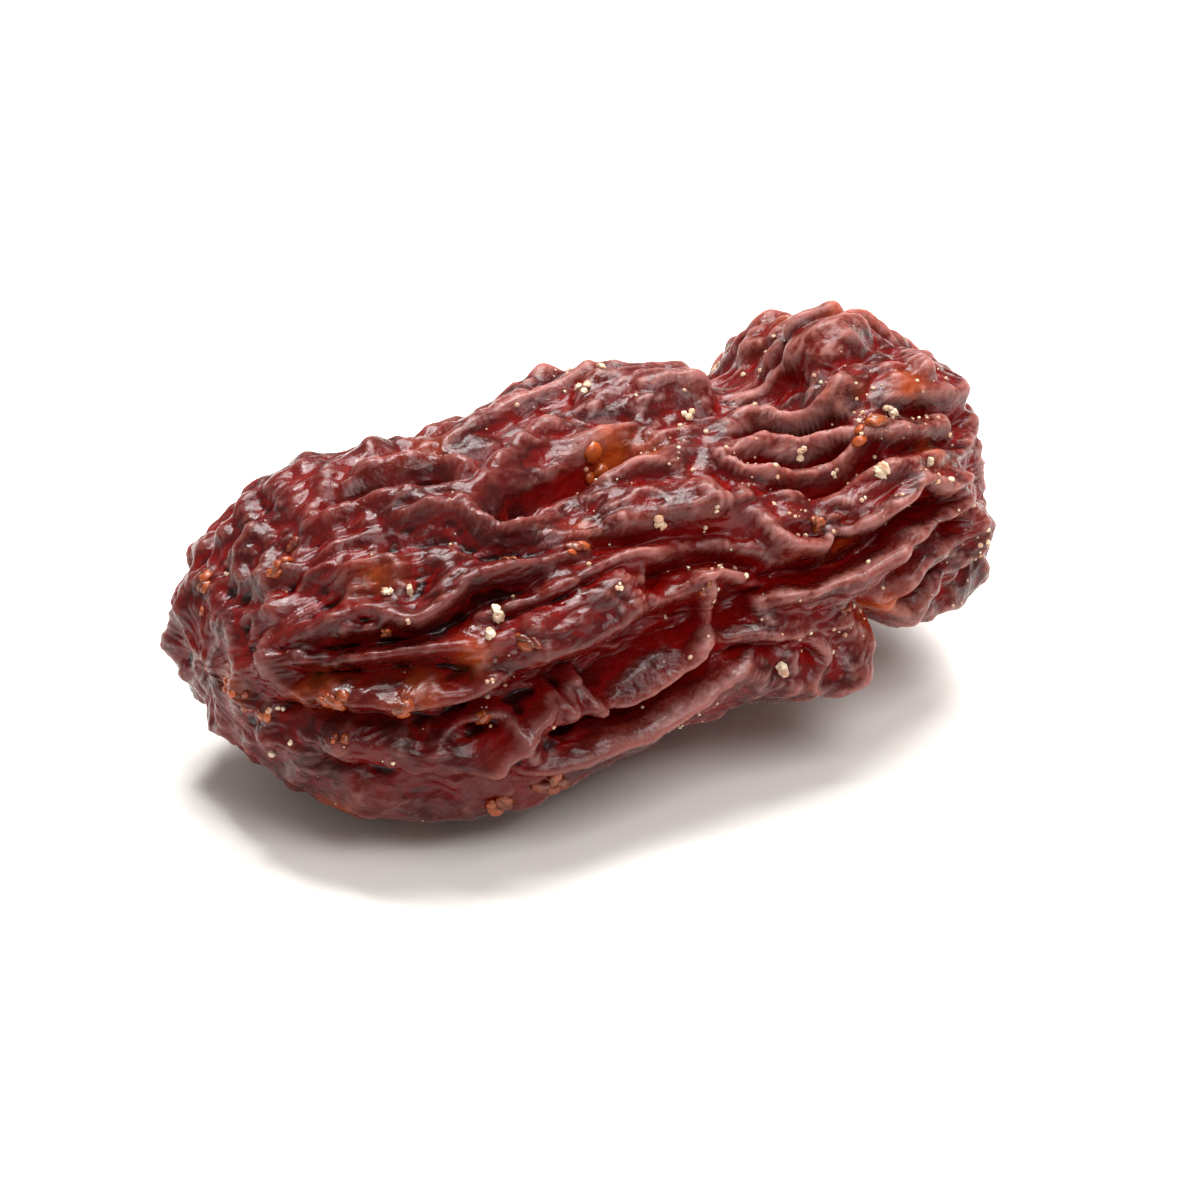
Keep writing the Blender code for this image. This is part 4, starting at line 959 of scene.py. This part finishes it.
def stuck_bits(name, dark, light, roughness, glow, grain_size):
    """Material of the stuck bits: a translucent lump, each of its own shade, mottled inside."""
    material, tree = blank_material(name)
    shade = node(tree, "ShaderNodeAttribute", attribute_name="shade").outputs["Fac"]
    place = node(tree, "ShaderNodeTexCoord").outputs["Object"]
    cloud = node(tree, "ShaderNodeTexNoise", {"Vector": place, "Scale": 1 / grain_size}).outputs["Fac"]
    share = node(tree, "ShaderNodeMath", {0: shade, 1: cloud}, operation="ADD").outputs[0]
    share = node(tree, "ShaderNodeMapRange", {"Value": share, "From Min": 0.4, "From Max": 1.5}).outputs[0]
    colour = node(
        tree, "ShaderNodeMix", {0: share, 6: linear(dark), 7: linear(light)}, data_type="RGBA"
    ).outputs[2]
    shader = node(
        tree,
        "ShaderNodeBsdfPrincipled",
        {
            "Base Color": colour,
            "Roughness": roughness,
            "Subsurface Weight": glow,
            "Subsurface Radius": (1.0, 0.5, 0.25),
            "Subsurface Scale": 0.0002,
        },
    )
    node(tree, "ShaderNodeOutputMaterial", {"Surface": shader.outputs["BSDF"]})
    return material


# Crystals of grape sugar: cream to white, clear enough to glow a little. Their mottling is 0.15 mm.
grape_sugar = stuck_bits("grape_sugar_crystals", "#a8705a", "#e0c4a4", 0.40, 0.3, 0.00015)
sugar = lumps("sugar_grains", clumps(SUGAR, 3, 15), 1.05, 0.70, 5)
sugar.data.materials.append(grape_sugar)
dust = lumps("sugar_specks", specks(SPECKS, 7), 1.0, 0.8, 9)
dust.data.materials.append(grape_sugar)
# Crumbs of dried grape flesh: amber to red brown, sticky and translucent, mottled at 0.3 mm.
amber_flesh = stuck_bits("amber_grape_flesh", "#561608", "#9c4614", 0.30, 0.6, 0.0003)
crumbs = lumps("flesh_crumbs", clumps(CRUMBS, 5, 21), 0.95, 0.60, 11)
crumbs.data.materials.append(amber_flesh)
crumbs.data.shade_smooth()

# The table. A smooth white laminate top that the raisin lies on, far wider than the view.
TABLE_HALF = 1.5
corners = TABLE_HALF * np.array([(-1.0, -1.0, 0.0), (1.0, -1.0, 0.0), (1.0, 1.0, 0.0), (-1.0, 1.0, 0.0)])
table_mesh = bpy.data.meshes.new("table_top")
table_mesh.from_pydata(corners, [], [(0, 1, 2, 3)])
table = bpy.data.objects.new("table_top", table_mesh)
bpy.context.scene.collection.objects.link(table)
laminate, tree = blank_material("white_laminate")
top = node(tree, "ShaderNodeBsdfPrincipled", {"Base Color": linear("#e9e5e0"), "Roughness": 0.55})
node(tree, "ShaderNodeOutputMaterial", {"Surface": top.outputs["BSDF"]})
table_mesh.materials.append(laminate)

# The light: a bright ceiling of softboxes, the largest behind and to the right, white walls, and a
# small bright window at the back that gives the crisp glints on the glossy end.
room = bpy.data.worlds.new("white_room")
bpy.context.scene.world = room
room.use_nodes = True
room.node_tree.nodes["Background"].inputs["Color"].default_value = linear("#f4f1ee")
room.node_tree.nodes["Background"].inputs["Strength"].default_value = 0.48


def softbox(name, place, size, power):
    """A square area lamp at a place, in metres, that faces the raisin."""
    lamp = bpy.data.lights.new(name, "AREA")
    lamp.size = size
    lamp.energy = power
    made = bpy.data.objects.new(name, lamp)
    made.location = place
    made.rotation_mode = "QUATERNION"
    made.rotation_quaternion = made.location.to_track_quat("Z", "Y")
    bpy.context.scene.collection.objects.link(made)


softbox("key_softbox", (0.10, 0.13, 0.38), 0.26, 3.5)
softbox("fill_softbox", (0.05, -0.25, 0.36), 0.25, 1.3)
softbox("window", (-0.04, 0.14, 0.36), 0.05, 0.55)

# The camera: a long lens half a metre away, from the front left and 30 degrees above the table.
CAMERA_AZIMUTH, CAMERA_ELEVATION, CAMERA_DISTANCE = math.radians(-25), math.radians(30), 0.5
# The width of the view at the raisin and the point it looks at, in metres; the sensor is 36 mm wide.
VIEW_WIDTH = 0.0215
AIM = (0.0, -0.0003, 0.0026)
SENSOR_WIDTH = 36
lens = bpy.data.cameras.new("camera")
lens.sensor_width = SENSOR_WIDTH
lens.lens = SENSOR_WIDTH * CAMERA_DISTANCE / VIEW_WIDTH
lens.clip_start = 0.01
camera = bpy.data.objects.new("camera", lens)
back = np.array(
    [
        math.sin(CAMERA_AZIMUTH) * math.cos(CAMERA_ELEVATION),
        -math.cos(CAMERA_AZIMUTH) * math.cos(CAMERA_ELEVATION),
        math.sin(CAMERA_ELEVATION),
    ]
)
camera.location = back * CAMERA_DISTANCE
camera.rotation_mode = "QUATERNION"
camera.rotation_quaternion = camera.location.to_track_quat("Z", "Y")
camera.location = back * CAMERA_DISTANCE + AIM
bpy.context.scene.collection.objects.link(camera)
bpy.context.scene.camera = camera
bpy.context.scene.view_settings.view_transform = "Standard"
